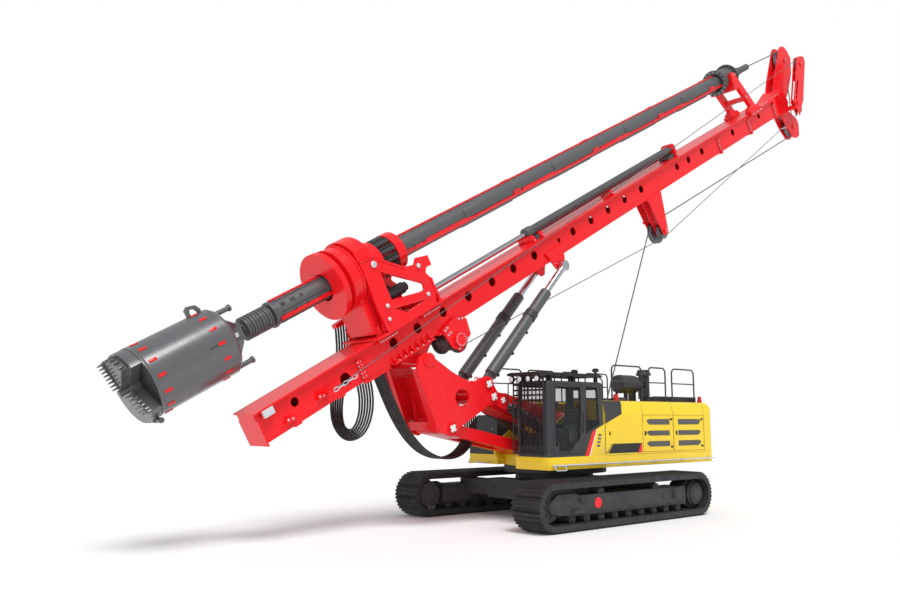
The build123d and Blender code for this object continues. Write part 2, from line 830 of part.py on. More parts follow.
with BuildPart() as delta:
    for hand in (-1, 1):
        with BuildSketch(side(hand * delta_plate_y)):
            Polygon(
                (4560, 3700),
                (4460, 3650),
                (3900, 3340),
                (3600, 3210),
                (3400, 3150),
                (3170, 3160),
                (3030, 3220),
                (2830, 3280),
                (2690, 3220),
                (2640, 3080),
                (2510, 2900),
                (2495, 2760),
                (2620, 2650),
                (2790, 2630),
                (3640, 2150),
                (3740, 2020),
                (3890, 1955),
                (4090, 2010),
                (4280, 2050),
                (4840, 3370),
                (4790, 3560),
                (4700, 3660),
                (4640, 3700),
                align=None,
            )
            with Locations((3590, 2790)):
                Circle(200, mode=Mode.SUBTRACT)
        extrude(amount=delta_plate / 2, both=True)
        # return of the side box along the front edge
        with BuildSketch(side(hand * 470)):
            Polygon((4280, 2060), (4255, 2060), (4800, 3360), (4825, 3360), align=None)
        extrude(amount=72, both=True)
        # inner lug for the tilt cylinder
        with BuildSketch(side(hand * (tilt_cylinder_y - 100))):
            with Locations(tilt_foot):
                Circle(150)
            Polygon(
                (tilt_foot[0] - 60, tilt_foot[1] - 100),
                (tilt_foot[0] + 130, tilt_foot[1] + 80),
                (3330, 3040),
                (3180, 2870),
                align=None,
            )
        extrude(amount=20, both=True)
        # pin caps
        with BuildSketch(side(hand * (delta_plate_y + delta_plate / 2 + 20))):
            with Locations(mast_hinge, boom_head, link_head, tilt_foot):
                Circle(95)
        extrude(amount=20, both=True)
    # cross tubes between the side plates; the thin one carries hose ends
    with BuildSketch(Plane.XZ):
        with Locations((3260, 2950)):
            Circle(90)
        with Locations(hose_bar):
            Circle(45)
    extrude(amount=delta_plate_y, both=True)
    # back wall of the recess between the plates, and the ledge at its foot
    with BuildSketch(Plane.XZ):
        Polygon((4350, 3230), (4310, 3230), (3990, 2340), (4030, 2340), align=None)
        Polygon((4060, 2075), (4060, 2260), (4330, 2260), (4250, 2075), align=None)
    extrude(amount=delta_plate_y - 10, both=True)
delta.part.label = "delta"
export_step(delta.part, "parts/delta.step")


# ---------------------------------------------------------------- cylinders of the linkage
def pair_of_barrels(start, end, y, radius, bore, eye_width, low, high):
    """Two barrels from the foot pin at start, bored from low + 120 to high along the line."""
    with BuildPart() as barrels:
        for hand in (-1, 1):
            with BuildSketch(axis_plane(start, end, hand * y, low)):
                Circle(radius)
            extrude(amount=high - low)
            with BuildSketch(axis_plane(start, end, hand * y, low + 120)):
                Circle(bore)
            extrude(amount=high - low, mode=Mode.SUBTRACT)
            with BuildSketch(axis_plane(start, end, hand * y, 60)):
                Rectangle(eye_width, radius * 1.3)
            extrude(amount=low - 30)
            with BuildSketch(side(hand * y)):
                with Locations(start):
                    Circle(radius * 0.95)
            extrude(amount=eye_width / 2, both=True)
    return barrels


def pair_of_rods(start, end, y, radius, eye_radius, eye_width, first):
    """Two rods that end in an eye at the line's end, from the place first along the line."""
    length, angle = along(start, end)
    with BuildPart() as rods:
        for hand in (-1, 1):
            with BuildSketch(axis_plane(start, end, hand * y, first)):
                Circle(radius)
            extrude(amount=length - first - eye_radius / 2)
            with BuildSketch(side(hand * y)):
                with Locations(end):
                    Circle(eye_radius)
            extrude(amount=eye_width / 2, both=True)
    return rods


luff_barrels = pair_of_barrels(luff_foot, luff_eye, luff_cylinder_y, 110, 78, 120, 190, 1750)
luff_barrels.part.label = "luff_barrels"
export_step(luff_barrels.part, "parts/luff_barrels.step")

luff_rods = pair_of_rods(luff_foot, luff_eye, luff_cylinder_y, 65, 105, 110, 420)
luff_rods.part.label = "luff_rods"
export_step(luff_rods.part, "parts/luff_rods.step")

tilt_barrels = pair_of_barrels(tilt_foot, tilt_eye, tilt_cylinder_y, 140, 100, 130, 320, 3100)
tilt_barrels.part.label = "tilt_barrels"
export_step(tilt_barrels.part, "parts/tilt_barrels.step")

tilt_rods = pair_of_rods(tilt_foot, tilt_eye, tilt_cylinder_y, 85, 130, 130, 1250)
tilt_rods.part.label = "tilt_rods"
export_step(tilt_rods.part, "parts/tilt_rods.step")

# ---------------------------------------------------------------- mast
flange_v = web_depth
joint_plate = 30
# columns: name, low s, high s of each mast section
mast_sections = [
    ("mast_lower", 0, 2500),
    ("mast_main", 2500, 18250),
    ("mast_upper", 18250, mast_length),
]
# columns: s, v, radius of the round holes through the web's sides
web_holes = [
    (870, 400, 90),
    (2080, 250, 130),
    (3490, 360, 110),
    (4220, 360, 110),
    (5040, 360, 110),
    (5900, 360, 110),
    (6750, 360, 110),
    (7560, 360, 110),
    (8400, 360, 110),
    (9440, 360, 60),
    (10070, 360, 110),
    (10910, 360, 110),
    (11740, 360, 110),
    (12590, 360, 110),
    (13480, 360, 110),
    (15570, 360, 110),
    (16280, 360, 110),
    (17150, 360, 110),
    (19300, 360, 110),
    (21300, 360, 90),
]
hinge_s, hinge_v = mast_place(*mast_hinge)
tilt_s, tilt_v = mast_place(*tilt_eye)
hinge_tube = 140
pad_plate = 55
winch_s = 5100
winch_v = -345
rope_s = 13900
rope_v = -1070
extra_joint_s = 20450


def mast_section(low, high):
    """Box section with its front flange and end plates, open through the middle."""
    length = high - low
    with BuildPart() as section:
        with BuildSketch(mast_cut(low)):
            with Locations((0, web_depth / 2)):
                Rectangle(web_width, web_depth)
            with Locations((0, flange_v + flange_plate / 2)):
                Rectangle(flange_width, flange_plate)
        extrude(amount=length)
        for place in (low, high - joint_plate):
            with BuildSketch(mast_cut(place)):
                with Locations((0, web_depth / 2 - 85)):
                    Rectangle(web_width + 90, web_depth - 70)
            extrude(amount=joint_plate)
        with BuildSketch(mast_cut(low)):
            with Locations((0, web_depth / 2)):
                Rectangle(web_width - 2 * web_plate, web_depth - 2 * web_plate)
        extrude(amount=length, mode=Mode.SUBTRACT)
        with BuildSketch(mast_side()):
            for s, v, radius in web_holes:
                if low < s < high:
                    with Locations((s, v)):
                        Circle(radius)
        extrude(amount=web_width, both=True, mode=Mode.SUBTRACT)
    return section


lower_section = mast_section(*mast_sections[0][1:])
with BuildPart() as mast_lower:
    add(lower_section.part)
    # closing plate and its corner feet
    with BuildSketch(mast_cut(0)):
        with Locations((0, web_depth / 2)):
            Rectangle(web_width - 2, web_depth - 2)
    extrude(amount=joint_plate)
mast_lower.part.label = "mast_lower"
export_step(mast_lower.part, "parts/mast_lower.step")

main_section = mast_section(*mast_sections[1][1:])
with BuildPart() as mast_main:
    add(main_section.part)
    # hinge lugs and the tube that turns between the delta's plates
    for y in (25 - web_width / 2, web_width / 2 - 25):
        with BuildSketch(mast_side(y)):
            Polygon(
                (hinge_s - 600, 12),
                (hinge_s - 120, hinge_v - 20),
                (hinge_s + 120, hinge_v - 20),
                (hinge_s + 600, 12),
                align=None,
            )
        extrude(amount=25, both=True)
    with BuildSketch(mast_side()):
        with Locations((hinge_s, hinge_v)):
            Circle(hinge_tube)
    extrude(amount=delta_plate_y - delta_plate / 2 - 8, both=True)
    # manifold under the mast where the hose loops end
    with BuildSketch(mast_cut(2580, -35)):
        Rectangle(600, 90)
    extrude(amount=620)
    # pads beside the web where the tilt cylinders push
    for hand in (-1, 1):
        with BuildSketch(mast_side(hand * (web_width / 2 + pad_plate / 2))):
            Polygon(
                (tilt_s - 380, 260),
                (tilt_s - 190, tilt_v + 40),
                (tilt_s - 60, tilt_v - 160),
                (tilt_s + 60, tilt_v - 160),
                (tilt_s + 190, tilt_v + 40),
                (tilt_s + 380, 260),
                align=None,
            )
        extrude(amount=pad_plate / 2, both=True)
    # arms and axle of the rope sheaves under the mast
    for y in (-110, 110, 330):
        with BuildSketch(mast_side(y)):
            Polygon(
                (rope_s - 330, 10),
                (rope_s + 420, 10),
                (rope_s + 120, rope_v - 110),
                (rope_s - 120, rope_v - 110),
                align=None,
            )
        extrude(amount=15, both=True)
    with BuildSketch(mast_cut(rope_s - 300, -20)):
        with Locations((-110, 0)):
            Rectangle(470, 60)
    extrude(amount=700)
    with BuildSketch(mast_side(110)):
        with Locations((rope_s, rope_v)):
            Circle(45)
    extrude(amount=260, both=True)
    # brackets and axle of the auxiliary winch
    with BuildSketch(mast_side(-250)):
        Polygon(
            (winch_s - 450, 10),
            (winch_s + 350, 10),
            (winch_s + 160, winch_v - 150),
            (winch_s - 160, winch_v - 150),
            align=None,
        )
    extrude(amount=15, both=True)
    with BuildSketch(mast_side(382)):
        Polygon(
            (winch_s - 360, 50),
            (winch_s + 150, 150),
            (winch_s + 420, -10),
            (winch_s + 370, -380),
            (winch_s - 60, -610),
            (winch_s - 250, -430),
            align=None,
        )
    extrude(amount=25, both=True)
    with BuildSketch(mast_cut(winch_s - 450, -15)):
        with Locations((-60, 0)):
            Rectangle(650, 40)
    extrude(amount=800)
    with BuildSketch(mast_side(60)):
        with Locations((winch_s, winch_v)):
            Circle(45)
    extrude(amount=330, both=True)
    with BuildSketch(mast_side(430)):
        with Locations((winch_s, winch_v)):
            Circle(170)
    extrude(amount=45, both=True)
mast_main.part.label = "mast_main"
export_step(mast_main.part, "parts/mast_main.step")

upper_section = mast_section(*mast_sections[2][1:])
with BuildPart() as mast_upper:
    add(upper_section.part)
    # bolted joint of the top section: a collar round the web
    with BuildSketch(mast_cut(extra_joint_s)):
        with Locations((0, web_depth / 2 - 85)):
            Rectangle(web_width + 90, web_depth - 70)
        with Locations((0, web_depth / 2)):
            Rectangle(web_width - 2 * web_plate, web_depth - 2 * web_plate, mode=Mode.SUBTRACT)
    extrude(amount=2 * joint_plate)
mast_upper.part.label = "mast_upper"
export_step(mast_upper.part, "parts/mast_upper.step")

# ---------------------------------------------------------------- mast head
# columns: name, s, v, y, outer radius, half width of each rope sheave
sheaves = [
    ("head_sheave_front", 24720, 1600, 0, 400, 55),
    ("head_sheave_rear", 23870, -700, 0, 340, 55),
    ("rope_sheave_main", rope_s, rope_v, 0, 330, 55),
    ("rope_sheave_aux", rope_s, rope_v, 220, 230, 40),
    ("head_sheave_aux", 24830, 1290, 560, 230, 40),
]
sheave_axle = 45

with BuildPart() as mast_head:
    with BuildSketch(mast_cut(mast_length)):
        with Locations((0, web_depth / 2)):
            Rectangle(web_width + 90, web_depth + 50)
    extrude(amount=joint_plate)
    # welded box at the mast's top
    with BuildSketch(mast_side()):
        Polygon(
            (mast_length + 10, 15),
            (mast_length + 10, 620),
            (23240, 830),
            (23700, 740),
            (23820, 200),
            (23560, -90),
            (23200, -90),
            align=None,
        )
    extrude(amount=270, both=True)
    for y in (-140, 140):
        # plates each side of the front sheave
        with BuildSketch(mast_side(y)):
            Polygon(
                (23200, 700),
                (23240, 880),
                (23610, 1250),
                (24230, 1760),
                (24560, 2060),
                (24740, 2130),
                (25000, 2060),
                (25160, 1840),
                (25250, 1560),
                (24950, 1050),
                (24300, 520),
                (23780, 210),
                align=None,
            )
        extrude(amount=20, both=True)
        # plates each side of the rear sheave
        with BuildSketch(mast_side(y)):
            Polygon(
                (23250, 60),
                (23310, -300),
                (23420, -640),
                (23660, -1060),
                (23900, -1150),
                (24130, -1120),
                (24340, -740),
                (24300, -520),
                (23810, -60),
                (23760, 120),
                align=None,
            )
        extrude(amount=20, both=True)
    # cross plate behind the front sheave
    with BuildSketch(mast_cut(23980, 1180)):
        Rectangle(300, 420)
    extrude(amount=60)
    for name, s, v, y, radius, half in sheaves:
        if name in ("head_sheave_front", "head_sheave_rear"):
            with BuildSketch(mast_side()):
                with Locations((s, v)):
                    Circle(sheave_axle)
            extrude(amount=200, both=True)
    # outrigger of the auxiliary sheave
    for y in (500, 620):
        with BuildSketch(mast_side(y)):
            Polygon(
                (23500, 210),
                (24310, 1120),
                (24710, 1560),
                (25000, 1560),
                (25240, 1460),
                (25240, 1280),
                (24230, 90),
                (23620, -340),
                align=None,
            )
            Polygon((24160, 820), (24330, 820), (23700, 150), (23700, 320), align=None, mode=Mode.SUBTRACT)
        extrude(amount=12, both=True)
    with BuildSketch(mast_side(560)):
        with Locations((24830, 1290)):
            Circle(sheave_axle)
    extrude(amount=90, both=True)
    with BuildSketch(mast_side(440)):
        with Locations((23620, 0)):
            Circle(85)
    extrude(amount=192, both=True)
    with BuildSketch(mast_side(560)):
        with Locations((24500, 1080)):
            Circle(45)
    extrude(amount=60, both=True)
mast_head.part.label = "mast_head"
export_step(mast_head.part, "parts/mast_head.step")

for name, s, v, y, radius, half in sheaves:
    with BuildPart() as sheave:
        with BuildSketch(mast_side(y)):
            with Locations((s, v)):
                Circle(radius - 35)
        extrude(amount=half, both=True)
        for offset_side in (-1, 1):
            with BuildSketch(mast_side(y + offset_side * (half - 10))):
                with Locations((s, v)):
                    Circle(radius)
            extrude(amount=10, both=True)
        with BuildSketch(mast_side(y)):
            with Locations((s, v)):
                Circle(sheave_axle + 6)
        extrude(amount=half + 5, both=True, mode=Mode.SUBTRACT)
    sheave.part.label = name
    export_step(sheave.part, f"parts/{name}.step")

with BuildPart() as aux_winch_drum:
    with BuildSketch(mast_side(60)):
        with Locations((winch_s, winch_v)):
            Circle(200)
    extrude(amount=280, both=True)
    for y in (-215, 335):
        with BuildSketch(mast_side(y)):
            with Locations((winch_s, winch_v)):
                Circle(290)
        extrude(amount=12, both=True)
    with BuildSketch(mast_side(60)):
        with Locations((winch_s, winch_v)):
            Circle(51)
    extrude(amount=300, both=True, mode=Mode.SUBTRACT)
aux_winch_drum.part.label = "aux_winch_drum"
export_step(aux_winch_drum.part, "parts/aux_winch_drum.step")

# ---------------------------------------------------------------- crowd cylinder
crowd_v = 860
crowd_low = 8800
crowd_high = 15850
rod_end = 5400
with BuildPart() as crowd_barrel:
    with BuildSketch(mast_cut(crowd_low, crowd_v)):
        Circle(125)
    extrude(amount=crowd_high - crowd_low)
    with BuildSketch(mast_cut(crowd_low - 10, crowd_v)):
        Circle(92)
    extrude(amount=crowd_high - crowd_low - 60, mode=Mode.SUBTRACT)
    for s in (crowd_low + 30, crowd_high - 330):
        with BuildSketch(mast_cut(s, flange_v + flange_plate)):
            with Locations((-130, 50), (130, 50)):
                Rectangle(90, 100)
            with Locations((0, 65)):
                Rectangle(350, 70)
        extrude(amount=300)
    with BuildSketch(mast_cut(crowd_low - 20, crowd_v)):
        Circle(92)
    extrude(amount=crowd_high - crowd_low - 60, mode=Mode.SUBTRACT)
crowd_barrel.part.label = "crowd_barrel"
export_step(crowd_barrel.part, "parts/crowd_barrel.step")

with BuildPart() as crowd_rod:
    with BuildSketch(mast_cut(rod_end - 130, crowd_v)):
        Circle(70)
    extrude(amount=6900)
crowd_rod.part.label = "crowd_rod"
export_step(crowd_rod.part, "parts/crowd_rod.step")

# ---------------------------------------------------------------- rotary drive
drive_bore = 330
shoe_gap = 8
carriage_v = flange_v + flange_plate + shoe_gap
frame_y = 605
band_half = 580

with BuildPart() as drive_carriage:
    with BuildSketch(mast_cut(2950, carriage_v)):
        with Locations((0, 25)):
            Rectangle(2 * frame_y + 40, 50)
    extrude(amount=2050)
    for hand in (-1, 1):
        # shoes that hook round the flange
        for s in (3030, 4320):
            with BuildSketch(mast_cut(s)):
                with Locations((-hand * (flange_width / 2 + shoe_gap + 26), carriage_v - 60)):
                    Rectangle(52, 130)
                with Locations((-hand * (web_width / 2 + 18 + 80), flange_v - shoe_gap - 25)):
                    Rectangle(185, 50)
            extrude(amount=530)
        # side frames that carry the gear case, with their rope hook at the top
        with BuildSketch(mast_side(hand * frame_y)):
            Polygon(
                (3270, carriage_v + 10),
                (3270, 2230),
                (3640, 2230),
                (3720, 2120),
                (4260, 1720),
                (4540, 1660),
                (4650, 1770),
                (4980, 1700),
                (4980, 1480),
                (4820, 1480),
                (4750, 1390),
                (4820, 1250),
                (4790, 890),
                (4700, carriage_v + 10),
                align=None,
            )
            Polygon(
                (3760, 1960),
                (4170, 1630),
                (4520, 1480),
                (4560, 1200),
                (4500, 880),
                (3900, 850),
                (3650, 1050),
                (3650, 1900),
                align=None,
                mode=Mode.SUBTRACT,
            )
        extrude(amount=20, both=True)
    # bracket at the far side where the hose loop starts
    with BuildSketch(mast_side(-frame_y - 75)):
        Polygon((2950, 1030), (2950, 1120), (3420, 1160), (3420, 1030), align=None)
    extrude(amount=75, both=True)
    # lug that the crowd rod pushes
    with BuildSketch(mast_cut(5000 - 40, carriage_v)):
        with Locations((0, 140)):
            Rectangle(300, 280)
    extrude(amount=310)
    with BuildSketch(mast_cut(rod_end - 130, crowd_v)):
        Circle(110)
    extrude(amount=-200)
drive_carriage.part.label = "drive_carriage"
export_step(drive_carriage.part, "parts/drive_carriage.step")

# columns: low s, thickness, radius of the gear case's steps
case_steps = [
    (2790, 115, 560),
    (2900, 305, 670),
    (3200, 65, 600),
    (3260, 345, 725),
    (3600, 190, 480),
]
with BuildPart() as drive_gearbox:
    for low, thickness, radius in case_steps:
        with BuildSketch(kelly_cut(low)) as step_section:
            Circle(radius)
            if radius > band_half and low > 3250:
                Rectangle(2 * band_half, 2 * radius + 20, mode=Mode.INTERSECT)
        extrude(amount=thickness)
    # foot of the case on the carriage
    with BuildSketch(mast_cut(3050)):
        with Locations((0, 1175)):
            Rectangle(870, 860)
    extrude(amount=740)
    with BuildSketch(kelly_cut(2700)):
        Circle(drive_bore)
    extrude(amount=1400, mode=Mode.SUBTRACT)
drive_gearbox.part.label = "drive_gearbox"
export_step(drive_gearbox.part, "parts/drive_gearbox.step")

with BuildPart() as drive_motors:
    for y in (-300, 300):
        with BuildSketch(mast_cut(3790, 1290)):
            with Locations((y, 0)):
                Circle(125)
        extrude(amount=480)
        with BuildSketch(mast_cut(4270, 1290)):
            with Locations((y, 0)):
                Circle(95)
        extrude(amount=90)
drive_motors.part.label = "drive_motors"
export_step(drive_motors.part, "parts/drive_motors.step")

# columns: low s, thickness, outer radius of the rings that turn with the kelly bar
sleeve_rings = [
    (2650, 130, 710),
    (3800, 200, 450),
    (4430, 220, 440),
]
sleeve_bore = 290
buffer_circle = 388
with BuildPart() as drive_sleeve:
    for low, thickness, radius in sleeve_rings:
        with BuildSketch(kelly_cut(low)):
            Circle(radius)
        extrude(amount=thickness)
    with BuildSketch(kelly_cut(2700)):
        Circle(320)
    extrude(amount=1900)
    with BuildSketch(kelly_cut(2600)):
        Circle(sleeve_bore)
    extrude(amount=2300, mode=Mode.SUBTRACT)
drive_sleeve.part.label = "drive_sleeve"
export_step(drive_sleeve.part, "parts/drive_sleeve.step")

# shock absorbers round the sleeve
with BuildPart() as sleeve_buffers:
    with BuildSketch(kelly_cut(4000)):
        with PolarLocations(buffer_circle, 12):
            Circle(44)
    extrude(amount=430)
sleeve_buffers.part.label = "sleeve_buffers"
export_step(sleeve_buffers.part, "parts/sleeve_buffers.step")

# ---------------------------------------------------------------- kelly guide and kelly bar
guide_low = 19700
guide_high = 20620
with BuildPart() as kelly_guide:
    with BuildSketch(kelly_cut(guide_low)):
        Circle(340)
    extrude(amount=guide_high - guide_low)
    for s in (guide_low, guide_high - 60):
        with BuildSketch(kelly_cut(s)):
            Circle(420)
        extrude(amount=60)
    with BuildSketch(kelly_cut(guide_low - 100)):
        Circle(285)
    extrude(amount=1200, mode=Mode.SUBTRACT)
kelly_guide.part.label = "kelly_guide"
export_step(kelly_guide.part, "parts/kelly_guide.step")

# leaning frame from the flange up to the sleeve
collar_low = 20060
collar_size = 260
with BuildPart() as guide_frame:
    for hand in (-1, 1):
        with BuildSketch(mast_side(hand * 385)):
            Polygon(
                (20500, carriage_v + 10),
                (20500, 780),
                (20720, 860),
                (collar_low + 20, 1980),
                (collar_low + 20, 2140),
                (collar_low + 240, 2140),
                (21060, 820),
                (21300, 760),
                (21300, carriage_v + 10),
                align=None,
            )
        extrude(amount=60, both=True)
        with BuildSketch(mast_cut(20500)):
            with Locations((-hand * 400, carriage_v + 30)):
                Rectangle(220, 60)
            with Locations((-hand * (flange_width / 2 + shoe_gap + 26), carriage_v - 40)):
                Rectangle(52, 160)
            with Locations((-hand * (web_width / 2 + 18 + 80), flange_v - shoe_gap - 25)):
                Rectangle(185, 50)
        extrude(amount=800)
    with BuildSketch(mast_cut(20640, 1150)):
        Rectangle(700, 160)
    extrude(amount=150)
    with BuildSketch(mast_cut(collar_low, 1850)):
        Rectangle(880, 560)
    extrude(amount=collar_size)
    with BuildSketch(kelly_cut(collar_low - 50)):
        Circle(341)
    extrude(amount=collar_size + 600, mode=Mode.SUBTRACT)
guide_frame.part.label = "guide_frame"
export_step(guide_frame.part, "parts/guide_frame.step")

with BuildPart() as kelly_outer:
    with BuildSketch(kelly_cut(kelly_low)):
        Circle(kelly_radius)
        Circle(kelly_bore, mode=Mode.SUBTRACT)
    extrude(amount=kelly_top - kelly_low)
kelly_outer.part.label = "kelly_outer"
export_step(kelly_outer.part, "parts/kelly_outer.step")

with BuildPart() as kelly_keys:
    with BuildSketch(kelly_cut(kelly_low + 100)):
        with PolarLocations(kelly_radius + key_height / 2 - 4, 3, start_angle=90):
            Rectangle(key_height + 6, 70)
        Circle(kelly_radius, mode=Mode.SUBTRACT)
    extrude(amount=kelly_top - kelly_low - 400)
kelly_keys.part.label = "kelly_keys"
export_step(kelly_keys.part, "parts/kelly_keys.step")

with BuildPart() as kelly_inner:
    with BuildSketch(kelly_cut(640)):
        Circle(inner_radius)
    extrude(amount=20700)
    for number in range(5):
        with BuildSketch(kelly_cut(700 + number * 115)):
            Circle(215)
        extrude(amount=60)
    with BuildSketch(kelly_cut(bucket_top + bucket_face + 5)):
        Rectangle(200, 200)
    extrude(amount=465)
    with BuildSketch(kelly_cut(21300)):
        Circle(110)
    extrude(amount=800)
kelly_inner.part.label = "kelly_inner"
export_step(kelly_inner.part, "parts/kelly_inner.step")

# ---------------------------------------------------------------- drilling bucket
gusset_top = 520
with BuildPart() as bucket:
    with BuildSketch(kelly_cut(bucket_low)):
        Circle(bucket_radius)
        Circle(bucket_radius - bucket_wall, mode=Mode.SUBTRACT)
    extrude(amount=bucket_top - bucket_low)
    with BuildSketch(kelly_cut(bucket_top)):
        Circle(bucket_radius)
    extrude(amount=bucket_face, taper=35)
    # box that the kelly bar's square end fits, with four gussets
    with BuildSketch(kelly_cut(bucket_top + bucket_face)):
        Rectangle(320, 320)
        Rectangle(208, 208, mode=Mode.SUBTRACT)
    extrude(amount=390)
    for turn in range(4):
        turned = radians(45 + 90 * turn)
        outward = Vector(0, -1, 0) * cos(turned) + mast_out * sin(turned)
        across = outward.cross(mast_up)
        with BuildSketch(Plane(origin=mast_point(0, kelly_v), x_dir=outward, z_dir=across)):
            Polygon(
                (195, bucket_top + bucket_face - 5),
                (195, gusset_top),
                (260, gusset_top),
                (560, bucket_top + bucket_face - 5),
                align=None,
            )
        extrude(amount=18, both=True)
    # release rods through the top, one each side of the hinge line
    for v in (-580, 480):
        with BuildSketch(kelly_cut(bucket_top + 10)):
            with Locations((0, v)):
                Circle(48)
        extrude(amount=470)
bucket.part.label = "bucket"
export_step(bucket.part, "parts/bucket.step")

tooth_low = bucket_low - 440
door_depth = 200
scoop_depth = 330
hub_radius = 95
pilot_radius = 62
mouths = ((-40, 35), (115, 185))
edge_angle = 112


def bucket_spot(radius, angle):
    """Point of a section across the bucket; the angle runs from the machine's left towards v."""
    turn = radians(angle)
    return (-radius * cos(turn), radius * sin(turn))


def bucket_half(angle):
    """Plane through the bucket's axis: its own x is s and its own y runs out at the angle."""
    turn = radians(angle)
    normal = Vector(0, 1, 0) * sin(turn) - mast_out * cos(turn)
    return Plane(origin=mast_point(0, kelly_v, 0), x_dir=mast_up, z_dir=normal)


# hinged bottom: a thick plate cut by two mouths, with a deeper scoop that carries the teeth
with BuildPart() as bucket_door:
    with BuildSketch(kelly_cut(bucket_low - door_depth)):
        Circle(bucket_radius)
        for start, end in mouths:
            middle = (start + end) / 2
            Polygon(
                bucket_spot(hub_radius, start),
                bucket_spot(bucket_radius + 100, start),
                bucket_spot(bucket_radius + 300, middle),
                bucket_spot(bucket_radius + 100, end),
                bucket_spot(hub_radius, end),
                align=None,
                mode=Mode.SUBTRACT,
            )
    extrude(amount=door_depth - 8)
    with BuildSketch(kelly_cut(bucket_low - scoop_depth)):
        Polygon(
            bucket_spot(40, 75),
            *[bucket_spot(bucket_radius - 70, angle) for angle in (42, 58, 75, 92, 108)],
            align=None,
        )
    extrude(amount=scoop_depth - door_depth + 10)
    with BuildSketch(kelly_cut(bucket_low - scoop_depth - 60)):
        Circle(pilot_radius)
    extrude(amount=scoop_depth - door_depth + 80)
    with BuildSketch(bucket_half(edge_angle)):
        Polygon(
            (bucket_low - door_depth + 30, 30),
            (bucket_low - scoop_depth - 10, 30),
            (bucket_low - scoop_depth - 30, bucket_radius - 40),
            (bucket_low - door_depth + 30, bucket_radius - 12),
            align=None,
        )
    extrude(amount=20, both=True)
    # teeth along the leading edge
    for number in range(8):
        reach = 105 + number * 68
        with BuildSketch(bucket_half(edge_angle)):
            Polygon(
                (bucket_low - scoop_depth + 20, reach - 26),
                (tooth_low, reach - 6),
                (tooth_low, reach + 6),
                (bucket_low - scoop_depth + 20, reach + 26),
                align=None,
            )
        extrude(amount=23, both=True)
bucket_door.part.label = "bucket_door"
export_step(bucket_door.part, "parts/bucket_door.step")
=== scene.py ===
"""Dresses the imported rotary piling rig: finishes, fasteners, hoses, ropes and fine fittings.

Units are metres in the machine's frame: +X forward, +Y to the machine's left, +Z up, with the
origin on the ground under the slewing axis.  Mast fittings use s, up along the mast from its foot,
and v, out from its back face towards the kelly bar.
"""

import cmath
import logging
import math
from dataclasses import dataclass, field
from enum import Enum
from typing import Iterable, Sequence

import bmesh
import bpy
from mathutils import Matrix, Vector


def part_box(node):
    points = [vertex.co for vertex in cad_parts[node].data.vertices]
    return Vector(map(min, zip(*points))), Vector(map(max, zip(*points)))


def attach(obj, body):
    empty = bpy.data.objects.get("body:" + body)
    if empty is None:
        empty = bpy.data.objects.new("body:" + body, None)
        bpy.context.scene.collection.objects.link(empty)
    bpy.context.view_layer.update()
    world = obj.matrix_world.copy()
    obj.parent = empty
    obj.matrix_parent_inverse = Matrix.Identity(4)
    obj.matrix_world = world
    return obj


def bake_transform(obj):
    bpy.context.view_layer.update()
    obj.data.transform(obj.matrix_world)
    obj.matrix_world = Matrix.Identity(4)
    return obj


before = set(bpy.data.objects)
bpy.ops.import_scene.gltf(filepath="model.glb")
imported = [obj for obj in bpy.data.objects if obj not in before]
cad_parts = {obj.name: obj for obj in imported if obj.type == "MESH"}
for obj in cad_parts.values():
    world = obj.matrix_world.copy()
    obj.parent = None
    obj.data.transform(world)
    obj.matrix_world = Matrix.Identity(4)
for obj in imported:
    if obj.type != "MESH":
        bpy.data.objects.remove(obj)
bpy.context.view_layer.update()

LOG = logging.getLogger("rig")


# ---------------------------------------------------------------- small tools
def linear(value: str) -> tuple[float, float, float, float]:
    """Turns an sRGB hex colour into linear RGBA.

    Args:
        value: Six hex digits, such as "c8102e".

    Returns:
        The linear red, green, blue and an alpha of 1.
    """
    parts = [int(value[i : i + 2], 16) / 255 for i in (0, 2, 4)]
    red, green, blue = [c / 12.92 if c <= 0.04045 else ((c + 0.055) / 1.055) ** 2.4 for c in parts]
    return (red, green, blue, 1.0)


def add(
    tree: bpy.types.NodeTree, kind: str, settings: dict | None = None, inputs: dict | None = None
) -> bpy.types.Node:
    """Adds one node with its settings, values and links.

    Args:
        tree: The node tree that gets the node.
        kind: The node's type name.
        settings: Properties of the node itself.
        inputs: Values, or sockets to link from, by input name or number.

    Returns:
        The new node.
    """
    made = tree.nodes.new(kind)
    for name, value in (settings or {}).items():
        setattr(made, name, value)
    for key, value in (inputs or {}).items():
        if isinstance(value, bpy.types.NodeSocket):
            tree.links.new(value, made.inputs[key])
        else:
            made.inputs[key].default_value = value
    return made


def blank_material(name: str) -> tuple[bpy.types.Material, bpy.types.NodeTree, bpy.types.NodeSocket]:
    """Makes a material with an empty tree, and a socket of its object's own coordinates."""
    mat = bpy.data.materials.new(name)
    mat.use_nodes = True
    mat.node_tree.nodes.clear()
    return mat, mat.node_tree, add(mat.node_tree, "ShaderNodeTexCoord").outputs["Object"]


def surfaced(mat: bpy.types.Material, skin: bpy.types.Node) -> bpy.types.Material:
    """Ends a material's tree with its skin, and returns the material."""
    add(mat.node_tree, "ShaderNodeOutputMaterial", inputs={"Surface": skin.outputs[0]})
    return mat


